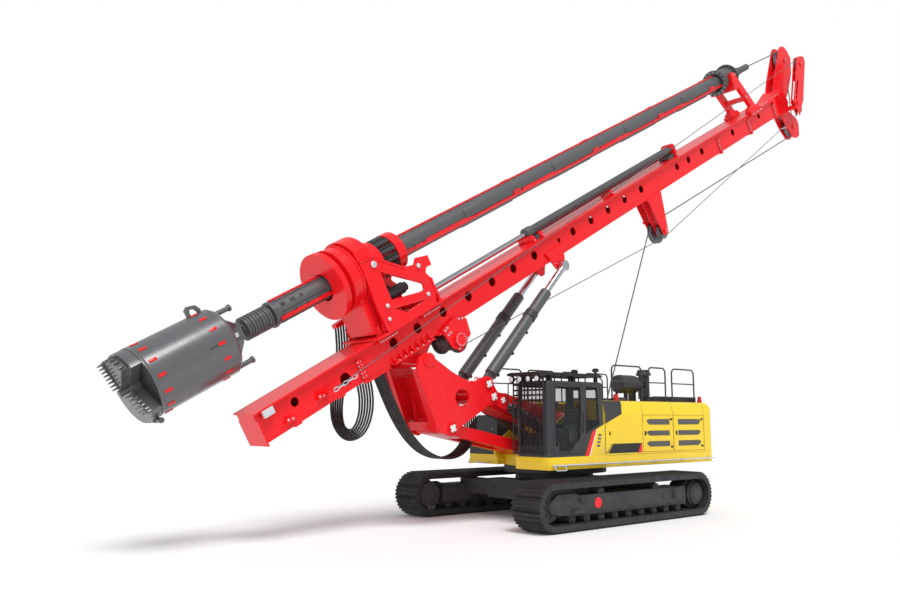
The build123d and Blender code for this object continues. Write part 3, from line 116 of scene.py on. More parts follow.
def started_tree(name: str, **kinds: str) -> tuple[bpy.types.NodeTree, dict[str, str], bpy.types.Node]:
    """Starts a Geometry Nodes tree.

    Args:
        name: The tree's name.
        **kinds: Kind of each of its inputs after the geometry, by the input's name.

    Returns:
        The tree, the identifier of each input by its name, and the node that hands the inputs out.
    """
    tree = bpy.data.node_groups.new(name, "GeometryNodeTree")
    tree.interface.new_socket("Geometry", in_out="INPUT", socket_type="NodeSocketGeometry")
    keys = {
        label: tree.interface.new_socket(label, in_out="INPUT", socket_type=f"NodeSocket{kind}").identifier
        for label, kind in kinds.items()
    }
    tree.interface.new_socket("Geometry", in_out="OUTPUT", socket_type="NodeSocketGeometry")
    return tree, keys, add(tree, "NodeGroupInput")


def run_tree(obj: bpy.types.Object, tree: bpy.types.NodeTree, values: dict) -> bpy.types.Object:
    """Runs a Geometry Nodes tree on an object, with values by identifier, and leaves a plain mesh."""
    modifier = obj.modifiers.new(tree.name, "NODES")
    modifier.node_group = tree
    for key, value in values.items():
        modifier[key] = value
    return plain_mesh(obj)


def link(obj: bpy.types.Object) -> bpy.types.Object:
    """Puts an object into the scene and returns it."""
    bpy.context.scene.collection.objects.link(obj)
    return obj


def mesh_object(
    name: str, verts: Sequence[Sequence[float]], faces: Sequence[Sequence[int]]
) -> bpy.types.Object:
    """Makes a mesh object at the origin from points and faces.

    Args:
        name: The piece's name.
        verts: Points in metres.
        faces: Corner numbers of each face.

    Returns:
        The new object, linked to the scene.
    """
    mesh = bpy.data.meshes.new(name)
    mesh.from_pydata([tuple(v) for v in verts], [], [tuple(f) for f in faces])
    mesh.update()
    return link(bpy.data.objects.new(name, mesh))


def outward(obj: bpy.types.Object) -> bpy.types.Object:
    """Merges points in the same place and turns all faces outwards."""
    work = bmesh.new()
    work.from_mesh(obj.data)
    bmesh.ops.remove_doubles(work, verts=work.verts, dist=0.0)
    bmesh.ops.recalc_face_normals(work, faces=work.faces)
    work.to_mesh(obj.data)
    work.free()
    return obj


def smooth(obj: bpy.types.Object, degrees: float = 35) -> bpy.types.Object:
    """Shades faces smooth where they meet at less than the angle."""
    for polygon in obj.data.polygons:
        polygon.use_smooth = True
    obj.data.set_sharp_from_angle(angle=math.radians(degrees))
    return obj


def plain_mesh(obj: bpy.types.Object) -> bpy.types.Object:
    """Turns an object and its modifiers into a plain mesh object of the same name."""
    bpy.context.view_layer.update()
    graph = bpy.context.evaluated_depsgraph_get()
    mesh = bpy.data.meshes.new_from_object(obj.evaluated_get(graph), depsgraph=graph)
    name = obj.name
    bpy.data.objects.remove(obj)
    mesh.name = name
    return link(bpy.data.objects.new(name, mesh))


class Mast:
    """Turns places along the mast into points of the machine's frame.

    LEAN is the mast's angle from level, FOOT its foot, UP and OUT the directions of s and v, and
    KELLY the v of the kelly bar's axis.
    """

    LEAN = math.radians(29.3)
    UP = Vector((-math.cos(LEAN), 0.0, math.sin(LEAN)))
    OUT = Vector((math.sin(LEAN), 0.0, math.cos(LEAN)))
    FOOT = Vector((8.118, 0.0, 1.867))
    KELLY = 2.02

    @classmethod
    def at(cls, s: float, v: float, y: float = 0.0) -> Vector:
        """Point s up the mast, v out from its back face, y to the left."""
        return cls.FOOT + cls.UP * s + cls.OUT * v + Vector((0, y, 0))

    @classmethod
    def kelly(cls, s: float) -> Vector:
        """Point s up the kelly bar's axis."""
        return cls.at(s, cls.KELLY)

    @classmethod
    def line(cls, y: float, pairs: Iterable[tuple[float, float]]) -> list[Vector]:
        """Points with one y, from pairs of s and v."""
        return [cls.at(s, v, y) for s, v in pairs]

    @classmethod
    def place(cls, point: Vector) -> tuple[float, float]:
        """The s and v of a point."""
        return ((point - cls.FOOT).dot(cls.UP), (point - cls.FOOT).dot(cls.OUT))


X, Y, Z = Vector((1, 0, 0)), Vector((0, 1, 0)), Vector((0, 0, 1))
# sign of y and name of each side
SIDES = ((1, "left"), (-1, "right"))


def vectors(*places: Sequence[float]) -> list[Vector]:
    """Points from x, y and z."""
    return [Vector(place) for place in places]


def upright(y: float, pairs: Iterable[tuple[float, float]]) -> list[Vector]:
    """Points with one y, from pairs of x and z."""
    return [Vector((x, y, z)) for x, z in pairs]


def oblong(first: float, last: float, low: float, high: float) -> list[tuple[float, float]]:
    """Corners of a rectangle, as pairs."""
    return [(first, low), (last, low), (last, high), (first, high)]


def frame_centre(node: str) -> Vector:
    """Middle of a CAD node's box."""
    low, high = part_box(node)
    return (Vector(low) + Vector(high)) / 2


# ---------------------------------------------------------------- finishes
class Sheen(Enum):
    """How a coat of paint was left."""

    GLOSS = 0.24
    SATIN = 0.42
    MATT = 0.62


@dataclass(frozen=True)
class Paint:
    """Two-pack enamel sprayed on steel: an even colour, a thin clear shine and drifts of dust.

    Attributes:
        name: The material's name.
        colour: The paint's sRGB hex colour.
        sheen: How the coat was left.
        grime: Share of dust and dry soil that dulls it.
        edge: Radius in metres that edges are rounded to.
        shine: Specular level of the coat.
    """

    name: str
    colour: str
    sheen: Sheen = Sheen.GLOSS
    grime: float = 0.25
    edge: float = 0.006
    shine: float = 0.28

    def make(self) -> bpy.types.Material:
        """Builds the material and returns it."""
        mat, tree, place = blank_material(self.name)
        # broad drifts of dust, about 1.2 m across, broken up by 90 mm patches
        drift = add(
            tree,
            "ShaderNodeTexNoise",
            inputs={"Vector": place, "Scale": 0.85, "Detail": 5.0, "Roughness": 0.62},
        )
        patch = add(
            tree,
            "ShaderNodeTexNoise",
            inputs={"Vector": place, "Scale": 11.0, "Detail": 4.0, "Roughness": 0.7},
        )
        mixed = add(
            tree,
            "ShaderNodeMath",
            {"operation": "MULTIPLY"},
            {0: drift.outputs["Fac"], 1: patch.outputs["Fac"]},
        )
        dust = add(
            tree, "ShaderNodeMapRange", inputs={"Value": mixed.outputs[0], "From Min": 0.2, "From Max": 0.46}
        ).outputs[0]
        # orange peel of the sprayed coat, drawn 6 mm across, coarser than the real 2 mm
        peel = add(tree, "ShaderNodeTexNoise", inputs={"Vector": place, "Scale": 160.0, "Detail": 1.0})
        clean, dirty = linear(self.colour), linear("8b8276")
        worn = tuple(c * (1 - 0.35 * self.grime) + d * 0.35 * self.grime for c, d in zip(clean, dirty))
        body = add(tree, "ShaderNodeMix", {"data_type": "RGBA"}, {0: dust, 6: clean, 7: worn})
        rough = add(
            tree,
            "ShaderNodeMapRange",
            inputs={
                "Value": dust,
                "To Min": self.sheen.value,
                "To Max": self.sheen.value + 0.28 * self.grime + 0.04,
            },
        )
        soft = add(tree, "ShaderNodeBevel", {"samples": 4}, {"Radius": self.edge})
        bump = add(
            tree,
            "ShaderNodeBump",
            inputs={
                "Strength": 0.06, "Distance": 0.002, "Height": peel.outputs["Fac"],
                "Normal": soft.outputs["Normal"],
            },
        )
        skin = add(
            tree,
            "ShaderNodeBsdfPrincipled",
            inputs={
                "Base Color": body.outputs[2],
                "Roughness": rough.outputs["Result"],
                "Normal": bump.outputs["Normal"],
                "IOR": 1.5,
                "Specular IOR Level": self.shine,
                "Coat Weight": 0.16 if self.sheen is Sheen.GLOSS else 0.05,
                "Coat Roughness": 0.12,
            },
        )
        return surfaced(mat, skin)


@dataclass(frozen=True)
class BareMetal:
    """Uncoated metal with marks of how it was worked and a film of oil or soil.

    Attributes:
        name: The material's name.
        colour: The metal's sRGB hex colour.
        film: The film's sRGB hex colour.
        rough: Roughness where it is clean.
        metallic: 1 for clean metal, less under a thick film.
        grain: Patches per metre of the film.
        film_low: Noise level where the film starts.
        bump: Strength of the relief.
        edge: Radius in metres that edges are rounded to.
    """

    name: str
    colour: str
    film: str
    rough: float = 0.35
    metallic: float = 1.0
    grain: float = 9.0
    film_low: float = 0.45
    bump: float = 0.15
    edge: float = 0.004

    def make(self) -> bpy.types.Material:
        """Builds the material and returns it."""
        mat, tree, place = blank_material(self.name)
        cloud = add(
            tree,
            "ShaderNodeTexNoise",
            inputs={"Vector": place, "Scale": self.grain, "Detail": 6.0, "Roughness": 0.65},
        )
        span = {"From Min": self.film_low, "From Max": self.film_low + 0.25}
        film = add(tree, "ShaderNodeMapRange", inputs={"Value": cloud.outputs["Fac"], **span}).outputs[0]
        pits = add(
            tree, "ShaderNodeTexNoise", inputs={"Vector": place, "Scale": self.grain * 14, "Detail": 3.0}
        )
        colour = add(
            tree,
            "ShaderNodeMix",
            {"data_type": "RGBA"},
            {0: film, 6: linear(self.colour), 7: linear(self.film)},
        )
        rough = add(
            tree,
            "ShaderNodeMapRange",
            inputs={"Value": film, "To Min": self.rough, "To Max": min(0.9, self.rough + 0.3)},
        )
        metal = add(
            tree,
            "ShaderNodeMapRange",
            inputs={"Value": film, "To Min": self.metallic, "To Max": self.metallic * 0.25},
        )
        soft = add(tree, "ShaderNodeBevel", {"samples": 4}, {"Radius": self.edge})
        relief = add(
            tree,
            "ShaderNodeBump",
            inputs={
                "Strength": self.bump, "Distance": 0.003, "Height": pits.outputs["Fac"],
                "Normal": soft.outputs["Normal"],
            },
        )
        skin = add(
            tree,
            "ShaderNodeBsdfPrincipled",
            inputs={
                "Base Color": colour.outputs[2],
                "Roughness": rough.outputs["Result"],
                "Metallic": metal.outputs["Result"],
                "Normal": relief.outputs["Normal"],
            },
        )
        return surfaced(mat, skin)


@dataclass(frozen=True)
class Rubber:
    """Extruded synthetic rubber, as on hydraulic hose covers: black, matt, faintly wrapped.

    Attributes:
        name: The material's name.
        colour: The rubber's sRGB hex colour.
        wrap: Cloth wrap marks per metre.
    """

    name: str
    colour: str
    wrap: float = 240.0

    def make(self) -> bpy.types.Material:
        """Builds the material and returns it."""
        mat, tree, place = blank_material(self.name)
        bloom = add(tree, "ShaderNodeTexNoise", inputs={"Vector": place, "Scale": 6.0, "Detail": 4.0})
        faded = add(
            tree,
            "ShaderNodeMapRange",
            inputs={"Value": bloom.outputs["Fac"], "From Min": 0.45, "From Max": 0.8},
        )
        weave = add(tree, "ShaderNodeTexNoise", inputs={"Vector": place, "Scale": self.wrap, "Detail": 1.0})
        colour = add(
            tree,
            "ShaderNodeMix",
            {"data_type": "RGBA"},
            {0: faded.outputs[0], 6: linear(self.colour), 7: linear("3b3a38")},
        )
        relief = add(
            tree,
            "ShaderNodeBump",
            inputs={"Strength": 0.2, "Distance": 0.001, "Height": weave.outputs["Fac"]},
        )
        skin = add(
            tree,
            "ShaderNodeBsdfPrincipled",
            inputs={
                "Base Color": colour.outputs[2], "Roughness": 0.48, "IOR": 1.52,
                "Normal": relief.outputs["Normal"],
            },
        )
        return surfaced(mat, skin)


@dataclass(frozen=True)
class TintedGlass:
    """Laminated cab glass: faintly tinted, clear enough to show the seat, with a sharp reflection.

    Attributes:
        name: The material's name.
        colour: The tint's sRGB hex colour.
        clear: Share of light that passes straight through.
    """

    name: str
    colour: str
    clear: float = 0.55

    def make(self) -> bpy.types.Material:
        """Builds the material and returns it."""
        mat, tree, place = blank_material(self.name)
        haze = add(tree, "ShaderNodeTexNoise", inputs={"Vector": place, "Scale": 2.4, "Detail": 3.0})
        rough = add(
            tree, "ShaderNodeMapRange", inputs={"Value": haze.outputs["Fac"], "To Min": 0.02, "To Max": 0.09}
        )
        skin = add(
            tree,
            "ShaderNodeBsdfPrincipled",
            inputs={
                "Base Color": linear(self.colour),
                "Roughness": rough.outputs["Result"],
                "IOR": 1.5,
                "Alpha": 1 - self.clear,
            },
        )
        return surfaced(mat, skin)


@dataclass(frozen=True)
class Cloth:
    """Woven seat cover: dark yarn in a plain weave with a soft sheen.

    Attributes:
        name: The material's name.
        colour: The yarn's sRGB hex colour.
        thread: Thread spacing in metres, drawn coarser than the real 0.6 mm so that it shows.
    """

    name: str
    colour: str
    thread: float = 0.004

    def make(self) -> bpy.types.Material:
        """Builds the material and returns it."""
        mat, tree, place = blank_material(self.name)
        warp = add(
            tree, "ShaderNodeTexWave", {"bands_direction": "X"},
            {"Vector": place, "Scale": 0.05 / self.thread},
        )
        weft = add(
            tree, "ShaderNodeTexWave", {"bands_direction": "Z"},
            {"Vector": place, "Scale": 0.05 / self.thread},
        )
        weave = add(
            tree, "ShaderNodeMath", {"operation": "MULTIPLY"},
            {0: warp.outputs["Fac"], 1: weft.outputs["Fac"]},
        )
        colour = add(
            tree,
            "ShaderNodeMix",
            {"data_type": "RGBA"},
            {0: weave.outputs[0], 6: linear(self.colour), 7: linear("4a4a4d")},
        )
        relief = add(
            tree, "ShaderNodeBump", inputs={"Strength": 0.4, "Distance": 0.001, "Height": weave.outputs[0]}
        )
        skin = add(
            tree,
            "ShaderNodeBsdfPrincipled",
            inputs={
                "Base Color": colour.outputs[2], "Roughness": 0.85, "Sheen Weight": 0.3,
                "Normal": relief.outputs["Normal"],
            },
        )
        return surfaced(mat, skin)


class Finishes:
    """Every finish of the rig, each made once."""

    def __init__(self) -> None:
        """Makes the materials."""
        # two-pack enamels, named for their colour and place
        self.red = Paint("red_enamel", "ee131d", Sheen.GLOSS, 0.12).make()
        self.yellow = Paint("yellow_enamel", "f4cf2c", Sheen.GLOSS, 0.25).make()
        self.dark = Paint("charcoal_enamel", "38393c", Sheen.SATIN, 0.35).make()
        self.kelly = Paint("kelly_grey_enamel", "4f5052", Sheen.SATIN, 0.3, 0.004, 0.5).make()
        self.bucket = Paint("tool_grey_enamel", "565658", Sheen.GLOSS, 0.2, 0.006, 0.7).make()
        self.black = Paint("black_enamel", "1e1f21", Sheen.SATIN, 0.3).make()
        self.silver = Paint("silver_enamel", "c9ccd0", Sheen.SATIN, 0.2, 0.003).make()
        self.white = Paint("white_enamel", "eceeee", Sheen.SATIN, 0.2, 0.003).make()
        self.louvre = Paint("louvre_grey_enamel", "6c6c6a", Sheen.SATIN, 0.3, 0.003).make()
        self.under = Paint("undercarriage_enamel", "37383b", Sheen.MATT, 0.6).make()
        # rolled manganese steel shoes, dark oxide with dry soil rubbed off the grousers
        self.track = BareMetal(
            "track_shoe_steel", "3f3f42", "2b2a2a", 0.5, 0.55, 5.0, 0.4, 0.35, 0.006
        ).make()
        # hard chrome, ground and polished, with a trace of oil
        self.chrome = BareMetal("hard_chrome", "c9ccd1", "8d9095", 0.12, 1.0, 3.0, 0.62, 0.02, 0.002).make()
        # turned steel sheaves greyed by rope grease
        self.turned = BareMetal("turned_steel", "8d9092", "3a3a3b", 0.35, 0.9, 8.0, 0.5, 0.1, 0.003).make()
        # galvanised strand under dark grease
        self.rope = BareMetal("rope_wire_steel", "6f7173", "3b3a39", 0.45, 0.8, 30.0, 0.5, 0.3, 0.001).make()
        # zinc-plated bolts and pins, bright and slightly yellow
        self.bolt = BareMetal(
            "zinc_plated_steel", "d9dadb", "a3a29c", 0.32, 0.7, 40.0, 0.55, 0.05, 0.001
        ).make()
        # grey iron castings under oil and dust
        self.iron = BareMetal("engine_cast_iron", "4b4d4f", "2c2c2c", 0.6, 0.5, 20.0, 0.45, 0.4, 0.006).make()
        # synthetic rubber of hose covers and of window seals, also used for the painted shade across the
        # bucket's mouths
        self.hose = Rubber("hose_cover_rubber", "141415").make()
        self.seal = Rubber("window_seal_rubber", "18181a").make()
        # laminated safety glass with a grey tint
        self.glass = TintedGlass("laminated_glass", "3a4042", 0.84).make()
        # woven polyester of the operator's seat
        self.cloth = Cloth("woven_seat_cloth", "232326").make()
        # moulded acrylic of the lamps
        self.lens = Paint("red_lamp_lens", "c01b16", Sheen.GLOSS, 0.05, 0.004).make()
        self.amber = Paint("amber_lamp_lens", "d98a1c", Sheen.GLOSS, 0.05, 0.004).make()
        self.lamp = Paint("clear_lamp_lens", "dfe3e4", Sheen.GLOSS, 0.05, 0.002).make()


# CAD nodes by their finish
FINISH_NODES = {
    "under": ("car_body", "track_frame_left", "track_frame_right"),
    "track": ("track_left", "track_right"),
    "yellow": (
        "upper_frame", "house_shell", "counterweight", "hood_door_left_mid", "hood_door_left_rear",
        "hood_door_right_mid", "hood_door_right_rear", "right_box",
    ),
    "iron": ("engine_block",),
    "dark": (
        "main_winch_drum", "winch_stand", "cab_shell", "cab_door", "right_cover", "roof_deck",
        "handrails", "aux_winch_drum", "drive_motors",
    ),
    "glass": ("cab_door_glass", "cab_glass"),
    "black": ("cab_guard", "air_cleaner", "sleeve_buffers"),
    "cloth": ("cab_seat",),
    "lens": ("beacons",),
    "red": (
        "boom", "lower_link", "delta", "mast_lower", "mast_main", "mast_upper", "mast_head",
        "drive_carriage", "drive_gearbox", "drive_sleeve", "guide_frame", "kelly_keys",
    ),
    "kelly": ("luff_barrels", "tilt_barrels", "crowd_barrel", "kelly_guide", "kelly_outer", "kelly_inner"),
    "chrome": ("luff_rods", "tilt_rods", "crowd_rod"),
    "turned": (
        "head_sheave_front", "head_sheave_rear", "rope_sheave_main", "rope_sheave_aux", "head_sheave_aux"
    ),
    "bucket": ("bucket", "bucket_door"),
}
NODE_FINISH = {node: finish for finish, nodes in FINISH_NODES.items() for node in nodes}


# ---------------------------------------------------------------- lines: hoses and ropes
@dataclass
class Hose:
    """One hydraulic hose that hangs in a loop between two bodies.

    Attributes:
        name: The piece's name.
        points: Control points of its route.
        bodies: The bodies at its start and its end; not used.
        start: Point before which it would follow the first body; not used.
        end: Point after which it would follow the second body; not used.
        diameter: Outer diameter in metres.
    """

    name: str
    points: list[Vector]
    bodies: tuple[str, str]
    start: Vector
    end: Vector
    diameter: float = 0.044

    def spline(self) -> bpy.types.Object:
        """Makes the route's smooth curve, with no thickness."""
        curve = bpy.data.curves.new(self.name + "_route", "CURVE")
        curve.dimensions = "3D"
        curve.resolution_u = 12
        line = curve.splines.new("NURBS")
        line.points.add(len(self.points) - 1)
        for slot, place in zip(line.points, self.points):
            slot.co = (*place, 1.0)
        line.order_u = 3
        line.use_endpoint_u = True
        return link(bpy.data.objects.new(self.name + "_route", curve))

    def centreline(self) -> list[Vector]:
        """Points along the smooth curve, as the swept cord draws it."""
        route = self.spline()
        bpy.context.view_layer.update()
        mesh = bpy.data.meshes.new_from_object(route)
        points = [v.co.copy() for v in mesh.vertices]
        bpy.data.objects.remove(route)
        bpy.data.meshes.remove(mesh)
        return points

    def build(self, material: bpy.types.Material) -> bpy.types.Object:
        """Args:
            material: The hose's finish.

        Returns:
            The finished piece.
        """
        route = self.spline()
        tube = TubeTree.shared().sweep(route, self.name, self.diameter / 2, material)
        path = self.centreline()
        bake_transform(tube)
        return tube


class TubeTree:
    """Geometry Nodes tree that sweeps a round section along a curve."""

    _made: "TubeTree | None" = None

    def __init__(self) -> None:
        """Builds the tree with its named inputs."""
        tree, self.keys, given = started_tree(
            "swept_tube", Radius="Float", Spacing="Float", Sides="Int", Finish="Material"
        )
        line = add(
            tree,
            "GeometryNodeResampleCurve",
            {"mode": "LENGTH"},
            {"Curve": given.outputs["Geometry"], "Length": given.outputs["Spacing"]},
        )
        spaced = add(
            tree,
            "FunctionNodeCompare",
            {"data_type": "FLOAT", "operation": "GREATER_THAN"},
            {0: given.outputs["Spacing"], 1: 0.001},
        )
        chosen = add(
            tree,
            "GeometryNodeSwitch",
            {"input_type": "GEOMETRY"},
            {"Switch": spaced.outputs[0], "False": given.outputs["Geometry"], "True": line.outputs[0]},
        )
        ring = add(
            tree,
            "GeometryNodeCurvePrimitiveCircle",
            inputs={"Radius": given.outputs["Radius"], "Resolution": given.outputs["Sides"]},
        )
        tube = add(
            tree,
            "GeometryNodeCurveToMesh",
            inputs={"Curve": chosen.outputs[0], "Profile Curve": ring.outputs["Curve"], "Fill Caps": True},
        )
        shaded = add(tree, "GeometryNodeSetShadeSmooth", inputs={"Geometry": tube.outputs[0]})
        real = add(tree, "GeometryNodeRealizeInstances", inputs={0: shaded.outputs[0]})
        coat = add(
            tree,
            "GeometryNodeSetMaterial",
            inputs={"Geometry": real.outputs[0], "Material": given.outputs["Finish"]},
        )
        add(tree, "NodeGroupOutput", inputs={0: coat.outputs[0]})
        self.tree = tree

    @classmethod
    def shared(cls) -> "TubeTree":
        """The one tree that all tubes use."""
        if cls._made is None:
            cls._made = cls()
        return cls._made

    def sweep(
        self,
        route: bpy.types.Object,
        name: str,
        radius: float,
        material: bpy.types.Material,
        sides: int = 12,
        spacing: float = 0.06,
    ) -> bpy.types.Object:
        """Sweeps the section along a route and leaves a plain mesh.

        Args:
            route: The curve object, which is used up.
            name: The new piece's name.
            radius: Outer radius in metres.
            material: The finish.
            sides: Sides of the section.
            spacing: Distance between rings in metres, or 0 for a ring at each point.

        Returns:
            The mesh object.
        """
        route.name = name
        values = {"Radius": radius, "Spacing": spacing, "Sides": sides, "Finish": material}
        return run_tree(route, self.tree, {self.keys[label]: value for label, value in values.items()})


def straight_route(name: str, points: Sequence[Vector]) -> bpy.types.Object:
    """Makes a polyline curve object through the points."""
    curve = bpy.data.curves.new(name, "CURVE")
    curve.dimensions = "3D"
    line = curve.splines.new("POLY")
    line.points.add(len(points) - 1)
    for slot, place in zip(line.points, points):
        slot.co = (*place, 1.0)
    return link(bpy.data.objects.new(name, curve))


@dataclass
class HoseLoops:
    """The two bundles of hoses that feed the rotary drive and the mast.

    Attributes:
        count: Hoses in each bundle.
        pitch: Distance between hoses where they are clamped, along the clamp.
        tight: Share of the pitch in the plane that a loop hangs in.
        flat: Share of the pitch across the machine.
    """

    count: int = 6
    pitch: float = 0.075
    tight: float = 0.65
    flat: float = 0.42

    def drive_bundle(self, finishes: Finishes) -> None:
        """Builds the hoses that hang from the drive past the mast's foot end.

        Args:
            finishes: The rig's finishes.
        """
        # columns: s, v, y at the middle of the bundle
        middle = [
            (3.14, 1.022, -0.68),
            (3.08, 0.82, -0.70),
            (2.92, 0.46, -0.71),
            (2.54, 0.02, -0.69),
            (2.16, -0.42, -0.62),
            (1.96, -0.76, -0.50),
            (1.99, -1.00, -0.38),
            (2.22, -1.04, -0.28),
            (2.50, -0.80, -0.22),
            (2.72, -0.40, -0.20),
            (2.78, -0.09, -0.20),
        ]
        last = len(middle) - 1
        for number in range(self.count):
            shift = (number - (self.count - 1) / 2) * self.pitch
            points = []
            for place, (s, v, y) in enumerate(middle):
                before, after = middle[max(place - 1, 0)], middle[min(place + 1, last)]
                along = Vector((after[0] - before[0], after[1] - before[1])).normalized()
                if place in (0, last):
                    along = Vector((0.0, -1.0 if place == 0 else 1.0))
                side = self.flat * math.cos(math.pi * place / last)
                points.append(
                    Mast.at(
                        s - along[1] * self.tight * shift, v + along[0] * self.tight * shift, y + side * shift
                    )
                )
            Hose(
                f"drive_hose_{number + 1}", points, ("drive", "mast"),
                Mast.at(2.5, 0.6, -0.6), Mast.at(2.5, -0.4, -0.6),
            ).build(finishes.hose)

    def mast_bundle(self, finishes: Finishes) -> None:
        """Builds the hoses that hang between the mast's back and the delta frame.

        Args:
            finishes: The rig's finishes.
        """
        # columns: x, z at the middle of the bundle
        middle = [
            (5.412, 3.274),
            (5.34, 3.13),
            (5.16, 2.78),
            (4.92, 2.36),
            (4.62, 1.96),
            (4.22, 1.62),
            (3.74, 1.46),
            (3.30, 1.50),
            (2.98, 1.72),
            (2.82, 2.02),
            (2.80, 2.30),
            (2.86, 2.46),
            (2.97, 2.552),
        ]
        for number in range(self.count):
            y = (number - (self.count - 1) / 2) * self.pitch
            points = upright(y, middle)
            Hose(
                f"mast_hose_{number + 1}", points, ("mast", "delta"),
                Vector((4.9, 0, 2.6)), Vector((3.2, 0, 2.6)),
            ).build(finishes.hose)

    def build(self, finishes: Finishes) -> None:
        """Builds both bundles."""
        self.drive_bundle(finishes)
        self.mast_bundle(finishes)


# ---------------------------------------------------------------- shapes and fasteners
class Form:
    """Collects closed shapes and turns them into one mesh object."""

    def __init__(self) -> None:
        """Starts with nothing."""
        self.verts: list[Vector] = []
        self.faces: list[tuple[int, ...]] = []

    def slab(self, outline: Sequence[Vector], thick: Vector) -> "Form":
        """Adds a plate.

        Args:
            outline: Corners of one face, in order.
            thick: From that face to the other one.

        Returns:
            The form itself.
        """
        base, count = len(self.verts), len(outline)
        self.verts += [Vector(p) for p in outline] + [Vector(p) + thick for p in outline]
        self.faces.append(tuple(base + i for i in range(count)))
        self.faces.append(tuple(base + count + i for i in reversed(range(count))))
        for i in range(count):
            j = (i + 1) % count
            self.faces.append((base + j, base + i, base + count + i, base + count + j))
        return self

    def block(self, low: Sequence[float], high: Sequence[float]) -> "Form":
        """Adds an upright box between two opposite corners."""
        low, high = zip(*(sorted(pair) for pair in zip(low, high)))
        corners = [Vector((low[0], low[1], low[2])), Vector((high[0], low[1], low[2]))]
        corners += [Vector((high[0], high[1], low[2])), Vector((low[0], high[1], low[2]))]
        return self.slab(corners, Vector((0, 0, high[2] - low[2])))

    def turned(
        self, start: Vector, axis: Vector, profile: Sequence[tuple[float, float]], sides: int = 32
    ) -> "Form":
        """Adds a shape turned about an axis.

        Args:
            start: Where the profile's height is zero.
            axis: Direction of growing height.
            profile: Radius and height of each ring, from one end to the other.
            sides: Sides of each ring.

        Returns:
            The form itself.
        """
        axis = axis.normalized()
        across = axis.orthogonal().normalized()
        along = axis.cross(across)
        base = len(self.verts)
        for radius, height in profile:
            for i in range(sides):
                angle = 2 * math.pi * i / sides
                self.verts.append(
                    start + axis * height + (across * math.cos(angle) + along * math.sin(angle)) * radius
                )
        for ring in range(len(profile) - 1):
            for i in range(sides):
                a, b = base + ring * sides + i, base + ring * sides + (i + 1) % sides
                self.faces.append((a, b, b + sides, a + sides))
        self.faces.append(tuple(base + i for i in reversed(range(sides))))
        self.faces.append(tuple(base + (len(profile) - 1) * sides + i for i in range(sides)))
        return self

    def wire(self, path: Sequence[Vector], radius: float, core: float, over: float, sides: int) -> None:
        """Adds short round pieces end to end.

        Args:
            path: The points that they join.
            radius: Radius of each piece.
            core: Radius of its two ends.
            over: How far each end passes its point.
            sides: Sides of the section.
        """
        for a, b in zip(path, path[1:]):
            length = (b - a).length
            self.turned(
                a, b - a, [(core, -over), (radius, 0), (radius, length), (core, length + over)], sides
            )

    def ring(self, start: Vector, axis: Vector, section: Sequence[tuple[float, float]], sides: int) -> "Form":
        """Adds a ring turned about an axis.

        Args:
            start: Where the section's height is zero.
            axis: Direction of growing height.
            section: Radius and height of each corner of the closed section.
            sides: Sides of the ring.

        Returns:
            The form itself.
        """
        axis = axis.normalized()
        across = axis.orthogonal().normalized()
        along = axis.cross(across)
        base, count = len(self.verts), len(section)
        for i in range(sides):
            angle = 2 * math.pi * i / sides
            ray = across * math.cos(angle) + along * math.sin(angle)
            self.verts += [start + ray * radius + axis * height for radius, height in section]
        for i in range(sides):
            for k in range(count):
                a, b = base + i * count, base + (i + 1) % sides * count
                self.faces.append((a + k, a + (k + 1) % count, b + (k + 1) % count, b + k))
        return self

    def object(self, name: str, bevel: float = 0.0) -> bpy.types.Object:
        """Makes the mesh object, with its sharp edges broken where a bevel is given."""
        made = outward(mesh_object(name, self.verts, self.faces))
        if bevel:
            rim = made.modifiers.new("edges", "BEVEL")
            rim.width = bevel
            rim.segments = 2
            rim.limit_method = "ANGLE"
            rim.angle_limit = math.radians(40)
            made = plain_mesh(made)
        return smooth(made)


@dataclass
class Shop:
    """Finishes pieces: gives each its material and its body.

    Attributes:
        finishes: The rig's finishes.
        bolts: Place, facing and washer radius of each bolt, by the body that it rides on.
    """

    finishes: Finishes
    bolts: dict[str, list[tuple[Vector, Vector, float]]] = field(default_factory=dict)

    def bolt(self, body: str, places: Iterable[Vector], facing: Vector, size: float = 0.022) -> None:
        """Notes bolts for a body.

        Args:
            body: The body that they ride on.
            places: Where their washers sit.
            facing: Direction that their heads point in.
            size: Radius of the washer in metres.
        """
        self.bolts.setdefault(body, []).extend((Vector(p), facing, size) for p in places)

    def done(self, piece: bpy.types.Object, body: str, finish: str) -> None:
        """Finishes one piece.

        Args:
            piece: The mesh object.
            body: The CAD body that it moves with.
            finish: Name of its finish.
        """
        piece.data.materials.clear()
        piece.data.materials.append(getattr(self.finishes, finish))
        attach(piece, body)
        LOG.info("%s on %s", piece.name, body)

    def add(self, form: "Form", name: str, body: str, finish: str, bevel: float = 0.0) -> None:
        """Makes a form's mesh object, with its edges broken where a bevel is given, and finishes it."""
        self.done(form.object(name, bevel), body, finish)

    def tube(
        self, name: str, path: Sequence[Vector], radius: float, body: str, finish: str, sides: int = 8
    ) -> None:
        """Makes a tube along a path of points and finishes it."""
        route = straight_route(name + "_route", path)
        piece = TubeTree.shared().sweep(route, name, radius, getattr(self.finishes, finish), sides, 0.0)
        self.done(piece, body, finish)

    def pipe(
        self, name: str, path: Sequence[Vector], radius: float, body: str, finish: str, sides: int = 10
    ) -> None:
        """Makes a bent tube with rounded corners along a path of straight runs."""
        self.tube(name, rounded(path, radius * 3.5), radius, body, finish, sides)


